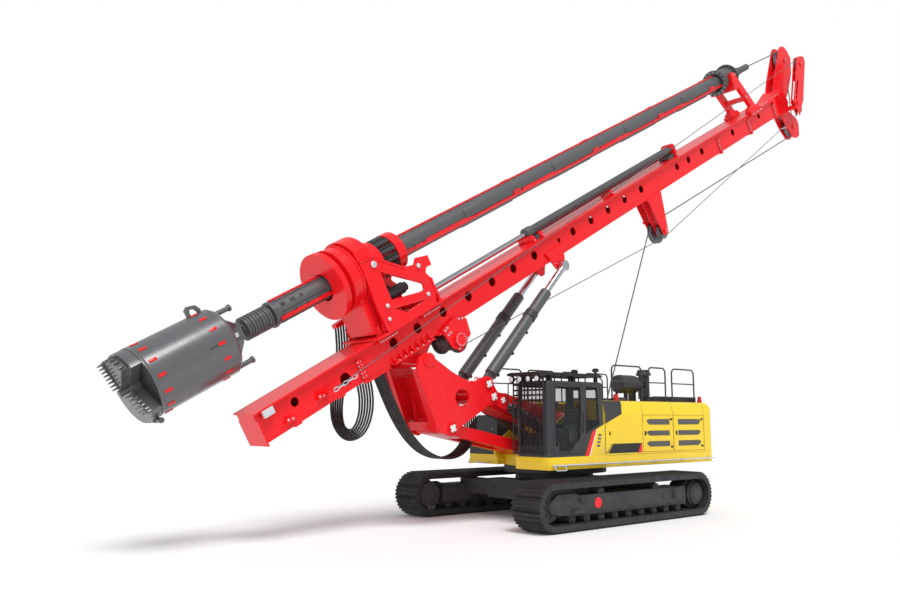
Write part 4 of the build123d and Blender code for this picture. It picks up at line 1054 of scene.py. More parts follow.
def rounded(points: Sequence[Vector], radius: float) -> list[Vector]:
    """Rounds the corners of a path of straight runs.

    Args:
        points: The path's corners.
        radius: Distance from a corner at which its bend starts.

    Returns:
        The path with each corner as a short arc of points.
    """
    path = [Vector(points[0])]
    for before, corner, after in zip(points, points[1:], points[2:]):
        near, far = Vector(before) - Vector(corner), Vector(after) - Vector(corner)
        reach = min(radius, near.length * 0.45, far.length * 0.45)
        a, b = Vector(corner) + near.normalized() * reach, Vector(corner) + far.normalized() * reach
        for step in range(6):
            t = step / 5
            path.append(a.lerp(Vector(corner), t).lerp(Vector(corner).lerp(b, t), t))
    path.append(Vector(points[-1]))
    return path


def row(first: Vector, last: Vector, count: int) -> list[Vector]:
    """Evenly spaced points from first to last."""
    return [first.lerp(last, i / max(1, count - 1)) for i in range(count)]


def circle(centre: Vector, axis: Vector, radius: float, count: int, phase: float = 0.0) -> list[Vector]:
    """Evenly spaced points round an axis."""
    across = axis.orthogonal().normalized()
    along = axis.normalized().cross(across)
    angles = [phase + 2 * math.pi * i / count for i in range(count)]
    return [centre + (across * math.cos(a) + along * math.sin(a)) * radius for a in angles]


class Fasteners:
    """Hexagon bolts on washers, put by one Geometry Nodes tree on points that state facing and size."""

    def __init__(self) -> None:
        """Builds the tree."""
        tree, self.keys, given = started_tree(
            "bolts_on_points", Washer="Float", Head="Float", Finish="Material"
        )
        ring = add(
            tree,
            "GeometryNodeMeshCylinder",
            inputs={"Vertices": 14, "Radius": given.outputs["Washer"], "Depth": 0.24},
        )
        hexagon = add(
            tree,
            "GeometryNodeMeshCylinder",
            inputs={"Vertices": 6, "Radius": given.outputs["Head"], "Depth": 0.7},
        )
        raised = add(
            tree,
            "GeometryNodeTransform",
            inputs={"Geometry": hexagon.outputs[0], "Translation": (0, 0, 0.42)},
        )
        bolt = add(tree, "GeometryNodeJoinGeometry")
        tree.links.new(ring.outputs[0], bolt.inputs[0])
        tree.links.new(raised.outputs[0], bolt.inputs[0])
        facing = add(
            tree, "GeometryNodeInputNamedAttribute", {"data_type": "FLOAT_VECTOR"}, {"Name": "facing"}
        )
        size = add(tree, "GeometryNodeInputNamedAttribute", {"data_type": "FLOAT"}, {"Name": "size"})
        turn = add(tree, "FunctionNodeAlignRotationToVector", {"axis": "Z"}, {"Vector": facing.outputs[0]})
        placed = add(
            tree,
            "GeometryNodeInstanceOnPoints",
            inputs={
                "Points": given.outputs["Geometry"],
                "Instance": bolt.outputs[0],
                "Rotation": turn.outputs[0],
                "Scale": size.outputs[0],
            },
        )
        real = add(tree, "GeometryNodeRealizeInstances", inputs={0: placed.outputs[0]})
        coat = add(
            tree,
            "GeometryNodeSetMaterial",
            inputs={"Geometry": real.outputs[0], "Material": given.outputs["Finish"]},
        )
        add(tree, "NodeGroupOutput", inputs={0: coat.outputs[0]})
        self.tree = tree

    def build(self, shop: Shop) -> None:
        """Makes one mesh of bolts for each body."""
        for body, bolts in shop.bolts.items():
            points = mesh_object(f"bolts_{body}", [p for p, _, _ in bolts], [])
            # columns: name, type, property, values
            for name, kind, slot, values in (
                ("facing", "FLOAT_VECTOR", "vector", [c for _, direction, _ in bolts for c in direction]),
                ("size", "FLOAT", "value", [radius for _, _, radius in bolts]),
            ):
                points.data.attributes.new(name, kind, "POINT").data.foreach_set(slot, values)
            finish = "track" if body.startswith("track_side") else "bolt"
            values = {"Washer": 1.0, "Head": 0.8, "Finish": getattr(shop.finishes, finish)}
            made = run_tree(points, self.tree, {self.keys[label]: value for label, value in values.items()})
            shop.done(smooth(made, 30), body, finish)


# ---------------------------------------------------------------- ropes
def wrapped(stops: Sequence[tuple[float, float, float, float]]) -> list[Vector]:
    """Path of a tight rope past sheaves in the mast's plane.

    Args:
        stops: s, v, signed radius and y of each sheave; the radius is positive where the rope keeps
            the sheave on its right, negative on its left, and 0 at a plain end.

    Returns:
        Points along the rope.
    """
    centres = [complex(s, v) for s, v, _, _ in stops]
    radii = [radius for _, _, radius, _ in stops]
    normals = []
    for a, b, first, second in zip(centres, centres[1:], radii, radii[1:]):
        gap = b - a
        normals.append(gap / abs(gap) * cmath.exp(1j * math.acos((first - second) / abs(gap))))
    path = []
    for number, (centre, radius, stop) in enumerate(zip(centres, radii, stops)):
        first, last = normals[max(0, number - 1)], normals[min(number, len(normals) - 1)]
        turn = cmath.phase(last / first)
        if turn * radius > 0:
            turn -= math.copysign(2 * math.pi, turn)
        steps = max(1, int(abs(turn) / 0.15))
        for step in range(steps + 1 if radius and turn else 1):
            spot = centre + radius * first * cmath.exp(1j * turn * step / steps)
            path.append(Mast.at(spot.real, spot.imag, stop[3]))
    return path


@dataclass
class Ropes:
    """Hoist rope and auxiliary rope, each pulled tight over the sheaves.

    Attributes:
        hoist: Radius of the hoist rope in metres.
        auxiliary: Radius of the auxiliary rope in metres.
        drum: Radius at which the hoist rope leaves its drum.
        bracket: s and v of the sheaves on the mast's back.
        rear: s and v of the head's rear sheave.
        front: s and v of the head's front sheave.
        swivel: s and v of the rope's end on the swivel.
    """

    hoist: float = 0.018
    auxiliary: float = 0.011
    drum: float = 0.35
    bracket: tuple[float, float] = (13.9, -1.07)
    rear: tuple[float, float] = (23.87, -0.70)
    front: tuple[float, float] = (24.72, 1.60)
    swivel: tuple[float, float] = (22.23, 2.02)

    def strand(
        self, name: str, points: Sequence[Vector], radius: float, shop: Shop, spacing: float = 0.0
    ) -> bpy.types.Object:
        """Sweeps one length of rope."""
        route = straight_route(name + "_route", points)
        return TubeTree.shared().sweep(route, name, radius, shop.finishes.rope, 8, spacing)

    def across_joints(self, shop: Shop, start: Vector, end: Vector) -> None:
        """Makes the free length from the house to the mast, one piece for each joint that it crosses."""
        marks = row(start, end, 4)
        for number, (a, b) in enumerate(zip(marks, marks[1:])):
            piece = self.strand(f"hoist_rope_{number + 1}", [a, b], self.hoist, shop, 0.2)
            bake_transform(piece)

    def build(self, shop: Shop) -> None:
        """Builds both ropes."""
        winch = Mast.place(frame_centre("main_winch_drum"))
        # columns: place, signed radius of the rope's turn
        stops = [
            (winch, -self.drum), (self.bracket, 0.30), (self.rear, -0.31), (self.front, -0.37),
            (self.swivel, 0.0),
        ]
        drum, *top = wrapped([(*place, radius, 0.0) for place, radius in stops])
        self.across_joints(shop, drum, top[0])
        shop.done(self.strand("hoist_rope_mast", top[:-1], self.hoist, shop), "mast", "rope")
        last = self.strand("hoist_rope_swivel", top[-2:], self.hoist, shop, 0.2)
        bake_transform(last)
        # columns: s, v, signed radius, y at its drum, its three sheaves and the mast's foot
        path = wrapped(
            [
                (5.1, -0.345, -0.215, 0.16),
                (13.9, -1.07, -0.20, 0.22),
                (23.86, -0.12, -0.13, 0.56),
                (24.83, 1.29, -0.20, 0.56),
                (1.5, 0.26, 0.0, 0.56),
            ]
        )
        shop.done(self.strand("auxiliary_rope", path, self.auxiliary, shop), "mast", "rope")
        self.layers(shop)

    def layers(self, shop: Shop) -> None:
        """Winds the turns of rope that lie on both drums."""
        # columns: name, body, centre, half length, radius over the turns, rope radius
        drums = [
            ("hoist_rope_turns", "main_winch", frame_centre("main_winch_drum"), 0.40, 0.33, self.hoist),
            (
                "auxiliary_rope_turns", "aux_winch", frame_centre("aux_winch_drum"), 0.26, 0.222,
                self.auxiliary * 1.3,
            ),
        ]
        for name, body, centre, half, radius, wire in drums:
            turns = int(2 * half / (2.05 * wire))
            profile = [(radius - wire * 1.5, -half)]
            for number in range(turns):
                for step in range(5):
                    angle = math.pi * step / 4
                    height = -half + wire * (1.05 + 2.05 * number) - wire * math.cos(angle)
                    profile.append((radius - wire + wire * math.sin(angle), height))
            profile.append((radius - wire * 1.5, half))
            shop.add(Form().turned(centre, Y, profile, 40), name, body, "rope")


# ---------------------------------------------------------------- mast, kelly bar and tool
def round_kelly(angle: float) -> Vector:
    """Unit vector across the kelly bar at an angle from +Y towards the mast's outer side, in degrees."""
    return Y * math.cos(math.radians(angle)) + Mast.OUT * math.sin(math.radians(angle))


def sector(
    form: Form, s: tuple[float, float], angles: tuple[float, float], radii: tuple[float, float]
) -> None:
    """Adds a curved plate round the kelly bar's axis to a form.

    Args:
        form: The form that it joins.
        s: Its ends along the mast.
        angles: Its first and last angle in degrees.
        radii: Its inner and outer radius.
    """
    steps = max(2, int(abs(angles[1] - angles[0]) / 6))
    turns = [angles[0] + (angles[1] - angles[0]) * i / steps for i in range(steps + 1)]
    centre = Mast.kelly(s[0])
    outline = [centre + round_kelly(a) * radii[1] for a in turns]
    outline += [centre + round_kelly(a) * radii[0] for a in reversed(turns)]
    form.slab(outline, Mast.UP * (s[1] - s[0]))


@dataclass
class KellyDetail:
    """Lock pockets of the kelly bar, its spring and its swivel.

    Attributes:
        radius: Outer radius of the outer tube.
        locks: s of each red stop block on the near drive strip.
        pocket: Length of the raised pocket below each block.
        pitch: Distance from a block to the end of the wide strip below it.
        strips: Angles of the three drive strips.
    """

    radius: float = 0.24
    locks: tuple[float, ...] = (19.0, 15.7, 12.2, 8.7)
    pocket: float = 1.9
    pitch: float = 3.25
    strips: tuple[float, ...] = (90.0, -30.0, 210.0)

    def build(self, shop: Shop) -> None:
        """Builds all of it."""
        plates, blocks, marks = Form(), Form(), Form()
        for s in self.locks:
            for strip in self.strips:
                sector(
                    plates, (s - self.pocket, s), (strip + 12, strip + 62),
                    (self.radius - 0.01, self.radius + 0.02),
                )
                sector(
                    blocks, (s - 0.13, s + 0.11), (strip + 2, strip + 27),
                    (self.radius - 0.01, self.radius + 0.045),
                )
                sector(
                    plates, (s - 0.05, s + 0.03), (strip + 13, strip + 21),
                    (self.radius + 0.03, self.radius + 0.047),
                )
                wide = (s - self.pitch, s - self.pocket)
                sector(blocks, wide, (strip + 2, strip + 17), (self.radius - 0.01, self.radius + 0.028))
                sector(
                    blocks, (wide[1], wide[1] + 0.2), (strip + 2, strip + 11),
                    (self.radius - 0.01, self.radius + 0.028),
                )
        # plug welds down both sides of each strip, near the bar's lower end
        for strip in self.strips:
            for number in range(26):
                for offset in (-12.0, 12.0):
                    s = 1.42 + number * 0.3
                    sector(
                        marks, (s, s + 0.09), (strip + offset - 1.4, strip + offset + 1.4),
                        (self.radius - 0.01, self.radius + 0.008),
                    )
        shop.add(plates, "kelly_pockets", "kelly_outer", "kelly", 0.004)
        shop.add(blocks, "kelly_stops", "kelly_outer", "red", 0.003)
        shop.add(marks, "kelly_plug_welds", "kelly_outer", "dark", 0.002)
        ring = [(0.246, 1.302), (0.262, 1.31), (0.262, 1.36), (0.246, 1.37)]
        lower = Form().turned(Mast.kelly(0), Mast.UP, [(0.205, 1.295)] + ring + [(0.205, 1.372)], 48)
        shop.add(lower, "kelly_end_ring", "kelly_outer", "kelly", 0.002)
        stub = Form()
        # columns: radius, s of the damper discs on the inner bar
        profile = [(0.14, 0.66)]
        for number in range(9):
            s = 0.68 + number * 0.066
            profile += [
                (0.212, s), (0.232, s + 0.008), (0.232, s + 0.040), (0.212, s + 0.048), (0.205, s + 0.060)
            ]
        profile.append((0.14, profile[-1][1] + 0.01))
        stub.turned(Mast.kelly(0), Mast.UP, profile, 48)
        shop.add(stub, "kelly_damper_plates", "kelly_inner", "kelly")
        slots = Form()
        for strip in self.strips:
            middle = strip - 60
            # columns: s of each end, half angle
            for low, high, half in ((1.50, 1.60, 9), (1.74, 1.78, 8), (1.80, 1.84, 8), (1.98, 2.02, 8)):
                sector(
                    slots, (low, high), (middle - half, middle + half),
                    (self.radius - 0.01, self.radius + 0.004),
                )
            for offset in (-33, 33):
                sector(
                    slots, (1.44, 2.56), (middle + offset - 1.2, middle + offset + 1.2),
                    (self.radius - 0.01, self.radius + 0.005),
                )
        shop.add(slots, "kelly_slots", "kelly_outer", "black")
        self.swivel(shop)

    def swivel(self, shop: Shop) -> None:
        """Builds the rope swivel and the spring above the bar."""
        axis = Mast.kelly(0)
        # columns: radius, s up the swivel
        body = [(0.06, 21.28), (0.125, 21.30), (0.125, 21.52), (0.10, 21.55)]
        body += [(0.10, 21.60), (0.055, 21.66), (0.055, 21.80), (0.03, 21.84)]
        shop.add(Form().turned(axis, Mast.UP, body, 32), "kelly_swivel", "kelly_inner", "kelly", 0.003)
        turns, parts, low, high, radius = 9, 14, 21.62, 22.18, 0.072
        across, along = round_kelly(0), round_kelly(90)
        path = []
        for step in range(turns * parts + 1):
            angle = 2 * math.pi * step / parts
            s = low + (high - low) * step / (turns * parts)
            path.append(Mast.kelly(s) + (across * math.cos(angle) + along * math.sin(angle)) * radius)
        shop.tube("kelly_spring", path, 0.011, "kelly_inner", "kelly")


@dataclass
class BucketDetail:
    """Wear pads, lifting hook and fittings of the drilling bucket.

    Attributes:
        radius: Outer radius of the bucket.
        rings: s of the two rings of wear pads.
        pads: Pads in each ring.
        edge: Angle of the bottom's second cutting edge.
    """

    radius: float = 0.65
    edge: float = -42.0
    rings: tuple[float, ...] = (-0.10, -1.28)
    pads: int = 14

    def build(self, shop: Shop) -> None:
        """Builds all of it."""
        pads = Form()
        for s in self.rings:
            for number in range(self.pads):
                angle = 360 / self.pads * number + 5
                sector(
                    pads, (s - 0.07, s + 0.07), (angle - 2.2, angle + 2.2),
                    (self.radius - 0.01, self.radius + 0.014),
                )
        shop.add(pads, "bucket_wear_pads", "kelly_inner", "red", 0.003)
        seams = Form()
        sector(seams, (-0.36, -0.17), (4.6, 5.6), (self.radius - 0.01, self.radius + 0.003))
        shop.add(seams, "bucket_slot", "kelly_inner", "black")
        # painted shade: a black lining round the inside darkens the bucket's interior
        coat = Form().ring(Mast.kelly(0), Mast.UP, oblong(0.612, 0.618, -1.43, -0.3), 48)
        shop.add(coat, "bucket_inside_painted_shade", "kelly_inner", "black")
        # painted shade: dark sheets across both mouths, so that they read as dark holes
        mouths = Form()
        # columns: first and last angle of each mouth
        for low, high in ((-39, 34), (116, 184)):
            sector(mouths, (-1.466, -1.452), (low, high), (0.11, 0.64))
        shop.add(mouths, "bucket_mouth_painted_shade", "bucket_door", "seal")
        rims = Form()
        profile = [(0.60, -1.452), (0.656, -1.452), (0.656, -1.40), (0.652, -1.39), (0.60, -1.39)]
        rims.turned(Mast.kelly(0), Mast.UP, profile, 64)
        shop.add(rims, "bucket_rim", "kelly_inner", "bucket")
        hook = Form()
        # columns: s, v of the lifting hook's side
        side = [(-0.19, 2.64), (-0.20, 2.80), (-0.13, 2.85), (0.02, 2.82), (0.09, 2.72), (0.07, 2.62)]
        side += [(0.02, 2.63), (0.02, 2.70), (-0.02, 2.76), (-0.11, 2.78), (-0.13, 2.72), (-0.12, 2.64)]
        hook.slab(Mast.line(-0.04, side), Y * 0.08)
        shop.add(hook, "bucket_hook", "kelly_inner", "bucket", 0.006)
        collars = Form()
        for v in (2.5, 1.44):
            low = [(0.05, 0.21), (0.075, 0.22), (0.075, 0.27), (0.05, 0.28)]
            top = [(0.05, 0.585), (0.066, 0.59), (0.066, 0.63), (0.055, 0.638)]
            collars.turned(Mast.at(0, v), Mast.UP, low, 24)
            collars.turned(Mast.at(0, v), Mast.UP, top, 24)
        shop.add(collars, "bucket_rod_collars", "kelly_inner", "bucket", 0.003)
        pin = Form()
        pin.turned(
            Mast.at(0.42, Mast.KELLY, -0.24),
            Y,
            [(0.02, 0.0), (0.045, 0.005), (0.045, 0.475), (0.02, 0.48)],
            24,
        )
        shop.add(pin, "bucket_cross_pin", "kelly_inner", "bolt", 0.003)
        # hinge of the opening bottom
        hinge = Form()
        for y in (-0.24, 0.0, 0.24):
            hinge.turned(
                Mast.at(-1.50, 1.345, y - 0.07),
                Y,
                [(0.02, 0), (0.05, 0.002), (0.05, 0.138), (0.02, 0.14)],
                20,
            )
        shop.add(hinge, "bucket_hinge", "bucket_door", "bucket", 0.003)
        shop.bolt(
            "kelly_inner",
            [Mast.kelly(-1.42) + round_kelly(a) * 0.652 for a in (150, 156)],
            round_kelly(153),
            0.02,
        )
        self.teeth(shop)

    def teeth(self, shop: Shop) -> None:
        """Builds the second row of teeth, their holders and the gauge cutters at the rim."""
        teeth = Form()
        edge = round_kelly(self.edge)
        across = edge.cross(Mast.UP)
        # columns: distance from the axis, s of the tip
        for reach, tip in (
            (0.14, -1.80), (0.24, -1.80), (0.34, -1.81), (0.44, -1.81), (0.54, -1.82), (0.61, -1.80)
        ):
            place = Mast.kelly(0) + edge * reach - across * 0.03
            holder = [(-1.60, -0.034), (-1.70, -0.03), (-1.72, 0.0), (-1.70, 0.03), (-1.60, 0.034)]
            teeth.slab([place + Mast.UP * s + edge * wide for s, wide in holder], across * 0.06)
            point = [(-1.68, -0.024), (tip, -0.006), (tip, 0.006), (-1.68, 0.024)]
            teeth.slab(
                [place + Mast.UP * s + edge * wide + across * 0.016 for s, wide in point], across * 0.028
            )
        for angle in (48, 62, 76, 90, 104):
            sector(teeth, (-1.80, -1.70), (angle - 2.4, angle + 2.4), (0.555, 0.612))
        shop.add(teeth, "bucket_teeth", "bucket_door", "bucket", 0.003)


@dataclass
class MastDetail:
    """Bolted joints, ribs, pads and pipes of the mast.

    Attributes:
        web: Half width of the web.
    """

    web: float = 0.3125

    def joints(self, shop: Shop) -> None:
        """Bolts and ribs of each joint between the mast's sections."""
        ribs = Form()
        # columns: s of the joint's middle, how far its plates reach each way
        for s, reach in ((2.5, 0.03), (18.25, 0.03), (20.48, 0.03), (22.5, 0.03)):
            for hand in (-1, 1):
                for v in (0.09, 0.17, 0.25, 0.33, 0.41):
                    for way in (-1, 1):
                        shop.bolt(
                            "mast",
                            [Mast.at(s + way * (reach + 0.003), v, hand * (self.web + 0.025))],
                            Mast.UP * way,
                            0.024,
                        )
                for v in (0.05, 0.13, 0.21, 0.29, 0.37, 0.45):
                    for way in (-1, 1):
                        near, far = s + way * reach, s + way * (reach + 0.24)
                        outline = [
                            Mast.at(near, v, hand * self.web),
                            Mast.at(near, v, hand * (self.web + 0.045)),
                            Mast.at(far, v, hand * self.web),
                        ]
                        ribs.slab(outline, Mast.OUT * 0.012)
                for y in (-0.25, -0.15, -0.05, 0.05, 0.15, 0.25):
                    shop.bolt("mast", [Mast.at(s + hand * (reach + 0.003), -0.025, y)], Mast.UP * hand, 0.024)
        shop.add(ribs, "mast_joint_ribs", "mast", "red", 0.002)

    def foot(self, shop: Shop) -> None:
        """Stop blocks, shackle lug and small fittings near the mast's foot."""
        stops = Form()
        for hand in (-1, 1):
            outline = Mast.line(hand * 0.39, oblong(0.13, 0.36, 0.46, 0.60))
            stops.slab(outline, Y * hand * 0.075)
        shop.add(stops, "mast_stop_blocks", "mast", "silver", 0.006)
        lugs = Form()
        # columns: s, v of each lug
        for s, v in ((0.62, 0.18), (1.42, 0.24)):
            side = [(s - 0.12, v - 0.05), (s + 0.10, v - 0.06), (s + 0.12, v + 0.03), (s - 0.05, v + 0.06)]
            lugs.slab(Mast.line(self.web - 0.01, side), Y * 0.09)
        lugs.slab(Mast.line(self.web - 0.01, oblong(1.46, 1.58, 0.22, 0.30)), Y * 0.275)
        for s in (0.78, 1.9):
            lugs.slab(
                Mast.line(-0.12, [(s, -0.09), (s + 0.16, -0.09), (s + 0.2, 0.02), (s - 0.04, 0.02)]), Y * 0.24
            )
        shop.add(lugs, "mast_lugs", "mast", "red", 0.004)
        shop.bolt(
            "mast",
            Mast.line(self.web + 0.082, [(0.56, 0.19), (0.66, 0.17), (1.36, 0.25), (1.46, 0.23)]),
            Y,
            0.022,
        )
        chain = []
        for number, s in enumerate((1.66, 1.78, 1.90, 2.02, 2.14)):
            centre = Mast.at(s, 0.245 + 0.004 * number, 0.56)
            tilt = Y if number % 2 else Mast.OUT
            chain.append((centre, tilt))
        links = Form()
        for centre, tilt in chain:
            ring = [
                centre + Mast.UP * 0.075 * math.cos(a) + tilt * 0.034 * math.sin(a)
                for a in (2 * math.pi * i / 16 for i in range(17))
            ]
            links.wire(ring, 0.011, 0.004, 0.002, 6)
        shop.add(links, "mast_shackle_chain", "mast", "silver")

    def holes(self, shop: Shop) -> None:
        """Welded rims round the web's holes, on both sides."""
        rims = Form()
        # columns: s, v, radius, as in the mast's own plates
        places = [
            (0.87, 0.40, 0.09), (2.08, 0.25, 0.13), (9.44, 0.36, 0.06), (19.30, 0.36, 0.11),
            (21.30, 0.36, 0.09),
        ]
        places += [
            (s, 0.36, 0.11)
            for s in (
                3.49, 4.22, 5.04, 5.90, 6.75, 7.56, 8.40, 10.07, 10.91, 11.74, 12.59, 13.48, 15.57,
                16.28, 17.15,
            )
        ]
        for s, v, radius in places:
            for hand in (-1, 1):
                centre = Mast.at(s, v, hand * (self.web - 0.024))
                profile = [
                    (radius - 0.001, 0), (radius + 0.010, 0), (radius + 0.010, 0.024), (radius - 0.001, 0.030)
                ]
                rims.ring(centre, Y * hand, profile, 28)
        shop.add(rims, "mast_hole_rims", "mast", "red")

    def crowd(self, shop: Shop) -> None:
        """Saddles and pipes of the crowd cylinder on the mast's front."""
        saddles = Form()
        # columns: s, half width, v of the top
        for s, width, top in ((8.62, 0.26, 0.80), (9.0, 0.22, 0.78), (12.3, 0.20, 0.76), (15.86, 0.22, 1.03)):
            outline = [
                Mast.at(s, 0.63, -width), Mast.at(s, 0.63, width), Mast.at(s, top - 0.06, width),
                Mast.at(s, top, width - 0.07),
            ]
            outline += [Mast.at(s, top, 0.07 - width), Mast.at(s, top - 0.06, -width)]
            saddles.slab(outline, Mast.UP * 0.10)
            for hand in (-1, 1):
                shop.bolt("mast", [Mast.at(s + 0.05, 0.67, hand * (width + 0.003))], Y * hand, 0.02)
        shop.add(saddles, "crowd_saddles", "mast", "red", 0.005)
        collar = [(0.10, 8.66), (0.150, 8.68), (0.150, 8.90), (0.128, 8.93), (0.10, 8.94)]
        shop.add(Form().turned(Mast.at(0, 0.86), Mast.UP, collar, 40), "crowd_gland", "mast", "kelly", 0.003)
        for number, y in enumerate((-0.16, 0.16)):
            run = [
                Mast.at(8.9, 0.92, y * 0.6), Mast.at(9.0, 0.90, y), Mast.at(15.4, 0.90, y),
                Mast.at(15.6, 0.88, y * 0.7),
            ]
            shop.pipe(f"crowd_pipe_{number + 1}", run, 0.016, "mast", "kelly")

    def hinge(self, shop: Shop) -> None:
        """Bearing saddle under the mast at its hinge, and the aux winch's bolts."""
        form = Form()
        for hand in (-1, 1):
            form.slab(Mast.line(hand * 0.30, oblong(3.25, 4.45, 0.0, -0.02)), Y * hand * 0.17)
            for s in (3.30, 3.48, 3.66, 3.84, 4.02, 4.20, 4.38):
                rib = [
                    Mast.at(s, 0.0, hand * 0.312), Mast.at(s, 0.0, hand * 0.45),
                    Mast.at(s, 0.16, hand * 0.312),
                ]
                form.slab(rib, Mast.UP * 0.014)
            spots = row(Mast.at(3.39, 0.006, hand * 0.42), Mast.at(4.29, 0.006, hand * 0.42), 6)
            shop.bolt("mast", spots, Mast.OUT, 0.026)
        shop.add(form, "mast_hinge_saddle", "mast", "red", 0.004)
        cap = Mast.at(5.10, -0.345, 0.477)
        shop.bolt("mast", circle(cap, Y, 0.135, 14), Y, 0.014)
        # columns: s, v of each bolt
        for s, v in (
            (4.82, 0.0), (4.90, 0.03), (4.86, -0.12), (4.94, -0.10), (5.30, 0.07), (5.40, 0.04),
            (5.34, -0.42), (5.0, -0.52),
        ):
            shop.bolt("mast", [Mast.at(s, v, 0.41)], Y, 0.026)

    def build(self, shop: Shop) -> None:
        """Builds all of it."""
        self.joints(shop)
        self.foot(shop)
        self.holes(shop)
        self.crowd(shop)
        self.hinge(shop)


@dataclass
class HeadDetail:
    """Pins, bolts and guard rods of the mast's head."""

    def build(self, shop: Shop) -> None:
        """Builds all of it."""
        pins = Form()
        # columns: s, v, y, radius of each axle's end cap
        for s, v, y, radius in (
            (24.72, 1.60, 0.16, 0.09), (23.87, -0.70, 0.16, 0.09), (24.83, 1.29, 0.634, 0.08),
            (23.72, 0.10, 0.634, 0.09), (13.9, -1.07, 0.345, 0.08),
        ):
            profile = [
                (radius - 0.02, 0), (radius, 0.004), (radius, 0.03), (radius - 0.03, 0.04), (0.02, 0.04)
            ]
            pins.turned(Mast.at(s, v, y), Y, profile, 28)
            if y < 0.5:
                pins.turned(Mast.at(s, v, -y if y < 0.2 else -0.125), -Y, profile, 28)
        shop.add(pins, "sheave_pins", "mast", "red")
        # columns: s, v, y of each end cap's face
        for s, v, y in (
            (24.72, 1.60, 0.202), (23.87, -0.70, 0.202), (24.83, 1.29, 0.676), (13.9, -1.07, 0.387)
        ):
            shop.bolt("mast", circle(Mast.at(s, v, y), Y, 0.05, 4), Y, 0.014)
        rods = Form()
        middle = [(24.30, 1.15), (24.95, 1.95), (25.08, 1.45), (23.45, -0.60), (24.1, -1.02)]
        left = [(24.45, 1.05), (25.08, 1.36), (23.95, 0.35)]
        # columns: s and v of the rods, y of their right end, length
        for places, y, length in ((middle, -0.14, 0.28), (left, 0.49, 0.14)):
            profile = [(0.01, 0), (0.022, 0.002), (0.022, length - 0.002), (0.01, length)]
            for start in Mast.line(y, places):
                rods.turned(start, Y, profile, 12)
        shop.add(rods, "head_guard_rods", "mast", "bolt")
        sheave = Form().ring(
            Mast.at(23.86, -0.12, 0.535),
            Y,
            [
                (0.03, 0), (0.165, 0), (0.165, 0.012), (0.12, 0.022), (0.12, 0.028), (0.165, 0.038),
                (0.165, 0.05), (0.03, 0.05),
            ],
            32,
        )
        shop.add(sheave, "head_deflection_sheave", "mast", "turned")
        for y in (-0.30, 0.30):
            shop.bolt("mast", row(Mast.at(22.60, 0.66, y), Mast.at(23.1, 0.66, y), 4), Mast.OUT, 0.02)
        ladder = Form()
        for number in range(5):
            s = 23.02 + number * 0.12
            ladder.slab(
                [Mast.at(s, v, y) for v, y in ((0.02, 0.27), (0.02, 0.36), (0.62, 0.36), (0.62, 0.27))],
                Mast.UP * 0.014,
            )
        shop.add(ladder, "head_ribs", "mast", "red", 0.002)
        arms = Form()
        for y in (-0.108, 0.108):
            arms.slab(Mast.line(y - 0.01, oblong(13.62, 13.98, -0.62, -0.70)), Y * 0.02)
        shop.add(arms, "bracket_cross_plates", "mast", "red", 0.003)


